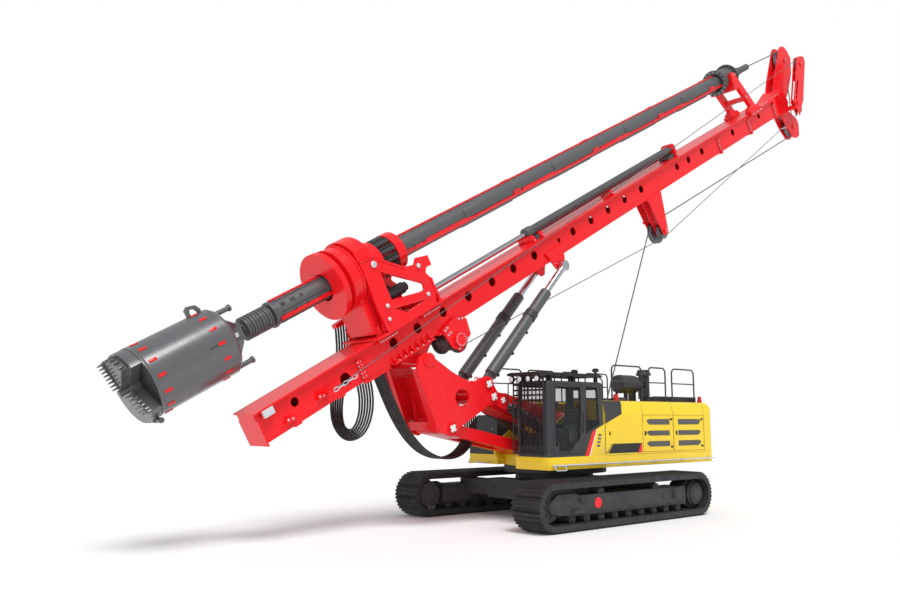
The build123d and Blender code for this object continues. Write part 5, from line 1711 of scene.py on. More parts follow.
# ---------------------------------------------------------------- drive, delta frame and cylinders
@dataclass
class DriveDetail:
    """Bolts, pins and plates of the rotary drive and of the kelly bar's guide.

    Attributes:
        half: y of the outer face of the side frames.
    """

    half: float = 0.625

    def build(self, shop: Shop) -> None:
        """Builds all of it."""
        axis = Mast.kelly(0)
        rings = Form()
        # columns: s and radii of the raised bands round the gear case
        for low, high, inner, outer in ((2.905, 2.94, 0.60, 0.69), (3.16, 3.195, 0.60, 0.69)):
            rings.ring(axis, Mast.UP, oblong(inner, outer, low, high), 72)
        shop.add(rings, "gear_case_bands", "drive", "red")
        shop.bolt("drive", circle(axis + Mast.UP * 3.603, Mast.UP, 0.535, 16, 0.2), Mast.UP, 0.026)
        shop.bolt("drive_sleeve", circle(axis + Mast.UP * 4.655, Mast.UP, 0.365, 12), Mast.UP, 0.03)
        shop.bolt("drive_sleeve", circle(axis + Mast.UP * 3.797, -Mast.UP, 0.415, 12), -Mast.UP, 0.024)
        springs = Form()
        for place in circle(axis + Mast.UP * 4.0, Mast.UP, 0.388, 12):
            for number in range(8):
                low = 0.03 + number * 0.05
                springs.turned(
                    place,
                    Mast.UP,
                    [(0.046, low), (0.056, low + 0.008), (0.056, low + 0.022), (0.046, low + 0.030)],
                    14,
                )
        shop.add(springs, "sleeve_spring_coils", "drive_sleeve", "kelly")
        for hand in (-1, 1):
            # bolt rows of the sliding shoes
            for s in (3.03, 4.32):
                shop.bolt(
                    "drive",
                    row(Mast.at(s + 0.04, 0.567, hand * 0.517), Mast.at(s + 0.49, 0.567, hand * 0.517), 8),
                    Y * hand,
                    0.017,
                )
                shop.bolt(
                    "drive",
                    row(Mast.at(s + 0.04, 0.66, hand * 0.492), Mast.at(s + 0.49, 0.66, hand * 0.492), 5),
                    Y * hand,
                    0.02,
                )
        self.pins(shop)
        self.stiffeners(shop)
        self.guide(shop)

    def pins(self, shop: Shop) -> None:
        """White-capped pins through the side frames."""
        caps = Form()
        for hand in (-1, 1):
            # columns: s, v, radius of each pin
            for s, v, radius in (
                (3.56, 2.06, 0.07), (3.48, 1.18, 0.045), (4.62, 1.60, 0.05), (3.40, 0.92, 0.04),
                (4.58, 0.96, 0.045),
            ):
                profile = [
                    (radius - 0.012, 0), (radius, 0.006), (radius, 0.04), (radius - 0.015, 0.055),
                    (0.02, 0.058),
                ]
                caps.turned(Mast.at(s, v, hand * self.half), Y * hand, profile, 24)
        shop.add(caps, "drive_pins", "drive", "bolt")

    def bar(
        self, form: Form, ends: Sequence[tuple[float, float]], y: float, half: float, thick: float
    ) -> None:
        """Adds a flat bar to a form.

        Args:
            form: The form that it joins.
            ends: s and v of its two ends.
            y: Where its first face is.
            half: Half of its width.
            thick: From that face to the other one, along y.
        """
        first, second = Mast.line(y, ends)
        across = (second - first).cross(Y).normalized() * half
        form.slab([first - across, second - across, second + across, first + across], Y * thick)

    def stiffeners(self, shop: Shop) -> None:
        """Welded ribs between the carriage's base and its side frames, and edge strips."""
        ribs = Form()
        for hand in (-1, 1):
            for s in (3.10, 3.22, 4.42, 4.56, 4.70, 4.84):
                outline = [
                    Mast.at(s, 0.694, hand * 0.585), Mast.at(s, 0.694, hand * 0.40),
                    Mast.at(s, 0.92, hand * 0.585),
                ]
                ribs.slab(outline, Mast.UP * 0.016)
            # straight links across the side frame's window; columns: s and v of each end
            for ends in (((3.60, 2.02), (4.76, 1.20)), ((3.46, 1.18), (4.66, 0.94))):
                self.bar(ribs, ends, hand * 0.545, 0.095, hand * 0.085)
            # strips along the side frame's edges; columns: s and v of each end
            edges = [((3.27, 0.72), (3.27, 2.22)), ((3.27, 2.22), (3.64, 2.22))]
            edges += [((3.72, 2.11), (4.25, 1.71)), ((4.83, 1.24), (4.80, 0.90))]
            for ends in edges:
                self.bar(ribs, ends, hand * 0.55, 0.022, hand * 0.095)
        # cross plates between the frames, below the gear case
        # columns: v, y round the lower one
        face = ((1.66, -0.58), (1.66, 0.58), (1.70, 0.58), (1.70, -0.58))
        ribs.slab([Mast.at(3.28, v, y) for v, y in face], -Mast.UP * 0.02)
        for s in (4.05, 4.62):
            ribs.slab(Mast.line(-0.58, [(s, 0.70), (s, 0.84), (s + 0.05, 0.84), (s + 0.05, 0.70)]), Y * 1.16)
        shop.add(ribs, "drive_ribs", "drive", "red", 0.003)

    def guide(self, shop: Shop) -> None:
        """Ribs and bolts of the kelly bar's guide sleeve."""
        ribs = Form()
        centre = Mast.kelly(0)
        # columns: s of each ring of ribs
        for low, high in ((19.762, 19.86), (20.46, 20.558)):
            for number in range(16):
                sector(ribs, (low, high), (number * 22.5, number * 22.5 + 2.2), (0.335, 0.405))
        shop.add(ribs, "guide_ribs", "kelly_guide", "kelly", 0.002)
        shop.bolt("kelly_guide", circle(centre + Mast.UP * 20.623, Mast.UP, 0.375, 16, 0.1), Mast.UP, 0.018)
        shop.bolt("kelly_guide", circle(centre + Mast.UP * 19.697, -Mast.UP, 0.375, 16, 0.1), -Mast.UP, 0.018)
        for hand in (-1, 1):
            shop.bolt(
                "kelly_guide",
                row(Mast.at(20.56, 0.567, hand * 0.517), Mast.at(21.24, 0.567, hand * 0.517), 7),
                Y * hand,
                0.017,
            )
            shop.bolt(
                "kelly_guide",
                Mast.line(hand * 0.446, [(20.22, 2.05), (20.36, 2.05), (20.66, 1.18), (20.74, 1.10)]),
                Y * hand,
                0.02,
            )


@dataclass
class LinkageDetail:
    """Pins, keepers, pipes and clamps of the boom, delta frame and cylinders.

    Attributes:
        plate: y of the delta plates' outer face.
    """

    plate: float = 0.60

    def keeper(self, form: Form, x: float, z: float, y: float, size: float, turn: float) -> None:
        """Adds a cross-shaped pin keeper to a form.

        Args:
            form: The form that it joins.
            x: Its middle, forward.
            z: Its middle, up.
            y: The face that it lies on.
            size: Half length of its arms.
            turn: Angle of its first arm in radians.
        """
        hand = math.copysign(1, y)
        for part in (0, 1):
            angle = turn + part * math.pi / 2
            along = Vector((math.cos(angle), 0, math.sin(angle)))
            across = Vector((-along.z, 0, along.x))
            centre = Vector((x, y, z))
            corners = [centre + along * size * a + across * size * 0.36 * b for a, b in oblong(-1, 1, -1, 1)]
            form.slab(corners, Y * hand * (0.022 + 0.002 * part))

    def pins(self, shop: Shop) -> None:
        """Pin keepers on the delta plates and the boom's cheeks."""
        keepers, bosses = Form(), Form()
        for hand in (-1, 1):
            # columns: x, z of each pin
            for x, z in ((2.83, 3.10), (2.68, 2.82), (3.89, 2.13)):
                self.keeper(keepers, x, z, hand * (self.plate + 0.041), 0.085, 0.5)
                turns = [0.5 + i * math.pi / 2 for i in range(4)]
                spots = [
                    Vector((x + 0.06 * math.cos(a), hand * (self.plate + 0.066), z + 0.06 * math.sin(a)))
                    for a in turns
                ]
                shop.bolt("delta", spots, Y * hand, 0.012)
                profile = [(0.12, 0), (0.135, 0.004), (0.135, 0.02), (0.12, 0.026)]
                bosses.ring(Vector((x, hand * self.plate, z)), Y * hand, profile, 32)
            hole = [(0.085, 0), (0.15, 0), (0.15, 0.03), (0.13, 0.04), (0.085, 0.04)]
            bosses.ring(Vector((4.53, hand * self.plate, 3.56)), Y * hand, hole, 32)
            rim = oblong(0.199, 0.212, -0.004, 0.006)
            bosses.ring(Vector((3.59, hand * self.plate, 2.79)), Y * hand, rim, 40)
        shop.add(keepers, "delta_pin_keepers", "delta", "white", 0.003)
        shop.add(bosses, "delta_bosses", "delta", "red")
        cheek = Form()
        for hand in (-1, 1):
            self.keeper(cheek, 2.29, 2.75, hand * 0.531, 0.07, 0.3)
        shop.add(cheek, "boom_pin_keepers", "boom", "white", 0.003)

    def box_edges(self, shop: Shop) -> None:
        """Frames and ribs of the recess between the delta plates, and its bolted corners."""
        form = Form()
        for hand in (-1, 1):
            low, high = Vector((4.235, hand * 0.545, 2.10)), Vector((4.79, hand * 0.545, 3.33))
            along = (high - low).normalized()
            across = Vector((along.z, 0, -along.x)) * 0.05
            form.slab([low, high, high + across, low + across], Y * hand * 0.075)
            rib_low, rib_high = Vector((4.08, hand * 0.25, 2.27)), Vector((4.28, hand * 0.25, 2.80))
            form.slab(
                [rib_low, rib_low + Vector((0.14, 0, 0)), rib_high + Vector((0.03, 0, 0)), rib_high],
                Y * 0.016,
            )
        for z in (2.30, 2.62, 2.94, 3.26):
            # the recess leans forward
            x = 4.0 + (z - 2.34) * 0.36
            form.block((x, -0.55, z), (x + 0.05, 0.55, z + 0.018))
        shop.add(form, "delta_box_edges", "delta", "red", 0.004)
        shop.bolt("delta", [Vector((4.2, y, 2.264)) for y in (-0.42, -0.36, 0.36, 0.42)], Z, 0.02)
        eyes = Form()
        for hand in (-1, 1):
            loop = [
                Vector((3.16 + 0.045 * math.cos(a), hand * 0.57, 3.185 + 0.06 * math.sin(a)))
                for a in (math.pi * i / 10 for i in range(11))
            ]
            eyes.wire(loop, 0.012, 0.006, 0.003, 8)
        shop.add(eyes, "delta_lifting_eyes", "delta", "red")

    def cylinders(self, shop: Shop) -> None:
        """Glands, pipes and clamps of the tilt and luffing cylinders."""
        # columns: name, barrel body, foot x, z, eye x, z, y, barrel radius, barrel length
        sets = [
            ("tilt", "tilt_barrels", 2.83, 3.10, 0.05, 6.13, 0.46, 0.14, 2.36),
            ("luff", "luff_barrels", 0.35, 1.80, 2.29, 2.75, 0.43, 0.11, 1.75),
        ]
        for name, body, foot_x, foot_z, eye_x, eye_z, y, radius, length in sets:
            foot = Vector((foot_x, 0, foot_z))
            axis = (Vector((eye_x, 0, eye_z)) - foot).normalized()
            clamps = Form()
            for hand in (-1, 1):
                start = foot + Y * y * hand
                low, top, bore, rim = length - 0.20, length + 0.008, radius - 0.035, radius + 0.022
                clamps.ring(
                    start, axis, [(bore, low), (rim, length - 0.19), (rim, length + 0.004), (bore, top)], 32
                )
                shop.bolt(body, circle(start + axis * top, axis, radius, 10), axis, 0.013)
                side = axis.cross(Y).normalized()
                for at in (0.45, 1.15, 1.85):
                    if at < length - 0.3:
                        spot = start + axis * at + side * (radius + 0.005)
                        clamps.slab(
                            [spot + Y * a + axis * b for a, b in oblong(-0.05, 0.05, -0.03, 0.03)],
                            side * 0.05,
                        )
                        shop.bolt(body, [spot + side * 0.05], side, 0.014)
                run = [
                    start + axis * 0.28 + side * (radius - 0.02), start + axis * 0.32 + side * (radius + 0.03)
                ]
                run += [
                    start + axis * (length - 0.2) + side * (radius + 0.03),
                    start + axis * (length - 0.12) + side * radius,
                ]
                shop.pipe(f"{name}_pipe_{'right' if hand < 0 else 'left'}", run, 0.016, body, "silver")
            shop.add(clamps, f"{name}_glands", body, "dark")

    def boom_pipes(self, shop: Shop) -> None:
        """Steel pipes clipped along the boom's top, with their clamps."""
        clamps = Form()
        for number in range(6):
            y = (number - 2.5) * 0.055
            run = upright(y, [(0.55, 2.60), (0.62, 2.63), (2.05, 2.925), (2.2, 2.93)])
            shop.pipe(f"boom_pipe_{number + 1}", run, 0.017, "boom", "black")
        for x in (0.8, 1.3, 1.8):
            z = 2.60 + (x - 0.5) * 0.206
            clamps.slab(
                vectors((x, -0.18, z - 0.02), (x, 0.18, z - 0.02), (x, 0.18, z + 0.05), (x, -0.18, z + 0.05)),
                Vector((0.05, 0, 0.01)),
            )
        shop.add(clamps, "boom_pipe_clamps", "boom", "bolt", 0.004)

    def build(self, shop: Shop) -> None:
        """Builds all of it."""
        self.pins(shop)
        self.box_edges(shop)
        self.cylinders(shop)
        self.boom_pipes(shop)


class TrackDetail:
    """Side plates, hubs, roller caps and chain of both tracks."""

    # columns: x, z of the frame's side plate
    PLATE = (
        (-1.96, 0.34), (2.40, 0.34), (2.68, 0.42), (2.68, 0.60), (2.46, 0.78), (1.90, 0.78),
        (1.74, 0.73), (-1.50, 0.73), (-1.80, 0.68), (-1.96, 0.60),
    )
    CENTRE = 1.99
    END_X = 2.615
    END_Z = 0.525

    def plates(self, shop: Shop, hand: int, body: str) -> None:
        """Side plate with its brackets, red inspection disc and bolts."""
        plate = Form()
        plate.slab(upright(hand * 2.262, self.PLATE), Y * hand * 0.022)
        # columns: low x, high x, low z, high z, how far each bracket stands out
        for low_x, high_x, low_z, high_z, proud in (
            (1.56, 1.80, 0.60, 0.69, 0.05),
            (1.72, 2.02, 0.37, 0.43, 0.06),
            (-1.86, -1.62, 0.46, 0.70, 0.05),
            (-1.40, -1.20, 0.50, 0.56, 0.03),
            (0.28, 0.30, 0.36, 0.72, 0.008),
        ):
            plate.slab(upright(hand * 2.28, oblong(low_x, high_x, low_z, high_z)), Y * hand * proud)
        for x in (-1.0, 1.0):
            side = [(x - 0.13, 0.72), (x + 0.13, 0.72), (x + 0.08, 0.84), (x - 0.08, 0.84)]
            for y in (1.80, 2.20):
                plate.slab(upright(hand * y, side), Y * hand * 0.05)
        shop.add(plate, f"{body}_plates", body, "under", 0.006)
        disc = Form().turned(
            Vector((1.155, hand * 2.28, 0.54)),
            Y * hand,
            [(0.02, 0), (0.115, 0), (0.115, 0.007), (0.02, 0.008)],
            40,
        )
        shop.add(disc, f"{body}_red_disc", body, "red")
        for x in (-1.62, 1.70):
            shop.bolt(body, [Vector((x + a, hand * 2.333, 0.645)) for a in (-0.06, 0.06)], Y * hand, 0.022)
        for number in range(9):
            middle = (number - 4) * 0.48
            shop.bolt(
                body,
                [
                    Vector((middle + a, hand * 2.288, 0.37))
                    for a in (-0.06, 0.06) if middle + a < 1.66 or middle + a > 2.08
                ],
                Y * hand,
                0.016,
            )

    def hubs(self, shop: Shop, hand: int, body: str) -> None:
        """Final drive at the rear, idler hub at the front and the rollers' end caps."""
        hubs = Form()
        drive = [
            (0.10, -0.02), (0.29, -0.02), (0.29, 0.02), (0.25, 0.05), (0.245, 0.09), (0.17, 0.105),
            (0.165, 0.12), (0.06, 0.125),
        ]
        hubs.turned(Vector((-self.END_X, hand * 2.19, self.END_Z)), Y * hand, drive, 48)
        idler = [(0.06, -0.02), (0.22, -0.02), (0.21, 0.02), (0.12, 0.035), (0.11, 0.07), (0.03, 0.075)]
        hubs.turned(Vector((self.END_X, hand * 2.19, self.END_Z)), Y * hand, idler, 40)
        rim = [(0.31, -0.03), (0.345, -0.03), (0.345, 0.0), (0.31, 0.005)]
        for x in (-self.END_X, self.END_X):
            for way in (-1, 1):
                hubs.turned(Vector((x, hand * self.CENTRE + way * 0.12, self.END_Z)), Y * way, rim, 40)
        for number in range(9):
            for way in (-1, 1):
                start = Vector(((number - 4) * 0.48, hand * self.CENTRE + way * 0.20, 0.227))
                hubs.turned(
                    start,
                    Y * way,
                    [(0.02, 0), (0.098, 0), (0.098, 0.02), (0.05, 0.03), (0.045, 0.045), (0.01, 0.048)],
                    24,
                )
        shop.add(hubs, f"{body}_hubs", body, "under")
        shop.bolt(
            body, circle(Vector((-self.END_X, hand * 2.243, self.END_Z)), Y, 0.268, 18), Y * hand, 0.014
        )
        shop.bolt(
            body, circle(Vector((-self.END_X, hand * 2.295, self.END_Z)), Y, 0.205, 10), Y * hand, 0.016
        )
        shop.bolt(body, circle(Vector((self.END_X, hand * 2.226, self.END_Z)), Y, 0.165, 8), Y * hand, 0.016)

    def loop(self, inset: float, count: int) -> list[tuple[Vector, Vector]]:
        """Evenly spaced places round the track's inside.

        Args:
            inset: Distance in from the track's outer line.
            count: Number of places.

        Returns:
            Each place in the plane y = 0 with the direction that points inwards.
        """
        radius = self.END_Z - inset
        straight, bend = 2 * self.END_X, math.pi * radius
        places = []
        for number in range(count):
            way = (number + 0.5) / count * 2 * (straight + bend)
            if way < straight:
                places.append((Vector((way - self.END_X, 0, self.END_Z + radius)), Vector((0, 0, -1))))
            elif way < straight + bend:
                turn = (way - straight) / radius
                out = Vector((math.sin(turn), 0, math.cos(turn)))
                places.append((Vector((self.END_X, 0, self.END_Z)) + out * radius, -out))
            elif way < 2 * straight + bend:
                places.append((Vector((self.END_X - (way - straight - bend), 0, self.END_Z - radius)), Z))
            else:
                turn = (way - 2 * straight - bend) / radius
                out = Vector((-math.sin(turn), 0, -math.cos(turn)))
                places.append((Vector((-self.END_X, 0, self.END_Z)) + out * radius, -out))
        return places

    def build(self, shop: Shop) -> None:
        """Builds all of it."""
        chain = ChainTree()
        for hand, body in ((1, "track_side_left"), (-1, "track_side_right")):
            self.plates(shop, hand, body)
            self.hubs(shop, hand, body)
            spots = [
                (place + Y * (hand * self.CENTRE + way * 0.335), inward)
                for place, inward in self.loop(0.116, 50)
                for way in (-1, 1)
            ]
            shop.done(chain.make(f"{body}_chain_lugs", spots, (0.10, 0.07, 0.05)), body, "track")
            for place, inward in self.loop(0.026, 50):
                middle = place + Y * hand * self.CENTRE
                shop.bolt(body, [middle + Y * a for a in (-0.16, -0.08, 0.08, 0.16)], -inward, 0.013)


class ChainTree:
    """Geometry Nodes tree that puts one block on each point, upright on the direction the point states."""

    def __init__(self) -> None:
        """Builds the tree."""
        tree, self.keys, given = started_tree("blocks_on_points", Size="Vector")
        block = add(tree, "GeometryNodeMeshCube", inputs={"Size": given.outputs["Size"]})
        facing = add(
            tree, "GeometryNodeInputNamedAttribute", {"data_type": "FLOAT_VECTOR"}, {"Name": "facing"}
        )
        turn = add(tree, "FunctionNodeAlignRotationToVector", {"axis": "Z"}, {"Vector": facing.outputs[0]})
        placed = add(
            tree,
            "GeometryNodeInstanceOnPoints",
            inputs={
                "Points": given.outputs["Geometry"], "Instance": block.outputs[0], "Rotation": turn.outputs[0]
            },
        )
        real = add(tree, "GeometryNodeRealizeInstances", inputs={0: placed.outputs[0]})
        add(tree, "NodeGroupOutput", inputs={0: real.outputs[0]})
        self.tree = tree

    def make(
        self, name: str, spots: Sequence[tuple[Vector, Vector]], size: Sequence[float]
    ) -> bpy.types.Object:
        """Makes one mesh of blocks.

        Args:
            name: The mesh's name.
            spots: Where each block's middle is and which way it stands.
            size: The block's own x, y and z size.

        Returns:
            The mesh object.
        """
        points = mesh_object(name, [place for place, _ in spots], [])
        facing = points.data.attributes.new("facing", "FLOAT_VECTOR", "POINT")
        facing.data.foreach_set("vector", [c for _, direction in spots for c in direction])
        return smooth(run_tree(points, self.tree, {self.keys["Size"]: size}))


def side_slab(form: Form, hand: int, y: float, outline: Sequence[tuple[float, float]], proud: float) -> None:
    """Adds a plate that lies on a side wall.

    Args:
        form: Where it is added.
        hand: 1 on the left, -1 on the right.
        y: The wall's distance from the middle.
        outline: x and z of its corners.
        proud: How far it stands out of the wall.
    """
    form.slab(upright(hand * y, outline), Y * hand * proud)


@dataclass
class HouseDetail:
    """Louvres, seams, plates, hinges, rail and steps of the house.

    Attributes:
        wall: Distance of the side walls from the middle.
        shoulder: Height at which the sides begin to lean in.
    """

    wall: float = 1.75
    shoulder: float = 2.45

    def louvres(self, shop: Shop) -> None:
        """Grey slats in the doors' recesses, with one pointed end each."""
        # columns: depth in the wall, height over the slat's middle
        slat = ((0.018, 0.006), (0.018, 0.012), (0.003, -0.006), (0.003, -0.012))
        # columns: door, rear x, front x, whether the pointed end is the front one
        for door, rear, front, at_front in (("mid", -2.36, -1.40, True), ("rear", -3.74, -2.72, False)):
            for hand, name in SIDES:
                slats, corners = Form(), Form()
                # columns: z of each opening's ends
                for low, high in ((1.66, 1.795), (1.925, 2.05), (2.19, 2.33)):
                    side_slab(
                        slats,
                        hand,
                        self.wall - 0.021,
                        oblong(rear + 0.002, front - 0.002, low + 0.002, high - 0.002),
                        0.004,
                    )
                    for z in (0.2, 0.4, 0.6, 0.8):
                        middle = low + (high - low) * z
                        outline = [
                            Vector((rear + 0.004, hand * (self.wall - y), middle + rise)) for y, rise in slat
                        ]
                        slats.slab(outline, X * (front - rear - 0.008))
                    tip, back = (front, -0.11) if at_front else (rear, 0.11)
                    for edge, inner in ((low, low + (high - low) * 0.55), (high, high - (high - low) * 0.25)):
                        side_slab(
                            corners, hand, self.wall - 0.018,
                            [(tip, edge), (tip + back, edge), (tip, inner)], 0.019,
                        )
                shop.add(slats, f"louvres_{name}_{door}", f"hood_door_{name}_{door}", "louvre")
                shop.add(corners, f"louvre_corners_{name}_{door}", f"hood_door_{name}_{door}", "yellow")

    def doors(self, shop: Shop) -> None:
        """Latches and hinge knuckles of the doors."""
        # columns: door, latch x, hinge x
        for door, latch, hinge in (("mid", -1.34, -2.47), ("rear", -2.64, -3.83)):
            for hand, name in SIDES:
                fittings = Form()
                side_slab(
                    fittings, hand, self.wall - 0.002, oblong(latch - 0.03, latch + 0.03, 1.94, 2.04), 0.014
                )
                for z in (1.62, 2.30):
                    side_slab(
                        fittings, hand, self.wall - 0.002, oblong(hinge, hinge + 0.09, z, z + 0.05), 0.012
                    )
                shop.add(fittings, f"door_fittings_{name}_{door}", f"hood_door_{name}_{door}", "black", 0.003)

    def seams(self, shop: Shop) -> None:
        """Dark gaps between the sheets, as thin lines over the hood and along its base."""
        # columns: y, z of a seam from its lower end to its inner one
        half = [(self.wall, 1.53), (self.wall, self.shoulder), (1.708, 2.66), (1.690, 2.72)]
        half += [(1.655, 2.75), (1.60, 2.762), (0.70, 2.762)]
        for number, x in enumerate((-1.24, -2.51, -3.885)):
            for hand, name in SIDES:
                line = [Vector((x, hand * y, z)) for y, z in half]
                shop.tube(f"hood_seam_{name}_{number}", line, 0.005, "upper", "seal", 6)
        for hand, name in SIDES:
            run = upright(hand * (self.wall - 0.001), [(0.19, 1.503), (-4.12, 1.503)])
            shop.pipe(f"hood_base_line_{name}", run, 0.004, "upper", "seal", 6)
            front = upright(hand * (self.wall + 0.001), [(0.185, 1.53), (0.185, 2.20)])
            shop.pipe(f"hood_front_line_{name}", front, 0.005, "upper", "seal", 6)

    def badges(self, shop: Shop) -> None:
        """Bare dark plate with its red end, dashes ahead of it and the dark corner behind the cab."""
        for hand, name in SIDES:
            plate = Form()
            side_slab(
                plate,
                hand,
                self.wall - 0.001,
                [(0.10, 1.54), (-0.09, 1.76), (-1.19, 1.76), (-1.19, 1.54)],
                0.004,
            )
            for number in range(4):
                z = 1.545 + 0.054 * number
                x = 0.155 - 0.046 * number
                side_slab(
                    plate,
                    hand,
                    self.wall - 0.001,
                    [(x, z), (x - 0.035, z + 0.042), (x - 0.065, z + 0.042), (x - 0.03, z)],
                    0.004,
                )
            shop.add(plate, f"blank_badge_{name}", "upper", "black")
            corner = Form()
            side_slab(
                corner, hand, self.wall, [(-1.19, 1.76), (-1.19, 1.54), (-1.04, 1.54), (-1.12, 1.70)], 0.006
            )
            shop.add(corner, f"badge_corner_{name}", "upper", "red")
            dark = Form()
            side_slab(
                dark,
                hand,
                self.wall - 0.002,
                [(0.19, 2.22), (-0.43, self.shoulder), (0.19, self.shoulder)],
                0.006,
            )
            # columns: y, z up the corner
            rise = [(self.wall - 0.002, self.shoulder), (1.706, 2.66), (1.688, 2.72), (1.653, 2.751)]
            for (y1, z1), (y2, z2) in zip(rise, rise[1:]):
                low, high = -0.43 - (z1 - self.shoulder) * 0.2, -0.43 - (z2 - self.shoulder) * 0.2
                quad = vectors(
                    (0.19, hand * y1, z1), (low, hand * y1, z1), (high, hand * y2, z2), (0.19, hand * y2, z2)
                )
                dark.slab(quad, Vector((0, hand * 0.006, 0.003)))
            shop.add(dark, f"dark_corner_{name}", "upper", "dark")
            small = Form()
            side_slab(small, hand, self.wall - 0.002, oblong(0.045, 0.005, 1.96, 2.04), 0.012)
            side_slab(small, hand, self.wall - 0.002, oblong(-0.06, -0.065, 1.97, 2.03), 0.004)
            shop.add(small, f"hood_lock_{name}", "upper", "black", 0.002)

    def rail(self, shop: Shop) -> None:
        """Bright guard bar along the deck's edge and the step loops."""
        for hand, name in SIDES:
            front = 2.04 if hand > 0 else 1.15
            bar = upright(hand * 1.80, [(front, 1.325), (-4.28, 1.325)])
            shop.pipe(f"deck_bar_{name}", bar, 0.019, "upper", "silver")
            feet = Form()
            for number in range(6):
                x = front - 0.15 - number * (front + 4.1) / 5.2
                feet.block((x - 0.03, hand * 1.745, 1.305), (x + 0.03, hand * 1.80, 1.345))
            shop.add(feet, f"deck_bar_feet_{name}", "upper", "dark", 0.003)
            x = 1.66 if hand > 0 else 0.85
            loop = vectors(
                (x, hand * 1.80, 1.32), (x, hand * 1.86, 1.22), (x + 0.34, hand * 1.86, 1.22),
                (x + 0.34, hand * 1.80, 1.32),
            )
            shop.pipe(f"step_loop_{name}", loop, 0.012, "upper", "silver")
        front = vectors((1.22, -0.95, 1.30), (1.42, -0.95, 1.26), (1.42, -1.35, 1.26), (1.22, -1.35, 1.30))
        shop.pipe("front_step_loop", front, 0.012, "upper", "silver")

    def rear(self, shop: Shop) -> None:
        """Counterweight's lamps, grab rails, slats and bolts."""
        for hand, name in SIDES:
            lamps = Form()
            lamps.block((-4.352, hand * 1.22, 1.62), (-4.335, hand * 1.42, 1.70))
            shop.add(lamps, f"rear_lamp_{name}", "upper", "lens", 0.004)
            grab = upright(hand * 0.7, oblong(-4.335, -4.40, 1.75, 2.25))
            shop.pipe(f"rear_grab_{name}", grab, 0.014, "upper", "black")
        slats = Form()
        for number in range(7):
            z = 1.80 + number * 0.07
            slats.block((-4.348, -0.5, z), (-4.338, 0.5, z + 0.03))
        shop.add(slats, "rear_slats", "upper", "louvre", 0.003)
        shop.bolt(
            "upper",
            [Vector((-4.343, y, z)) for y in (-0.6, 0.6) for z in (1.4, 2.35)],
            Vector((-1, 0, 0)),
            0.04,
        )

    def build(self, shop: Shop) -> None:
        """Builds all of it."""
        self.louvres(shop)
        self.doors(shop)
        self.seams(shop)
        self.badges(shop)
        self.rail(shop)
        self.rear(shop)


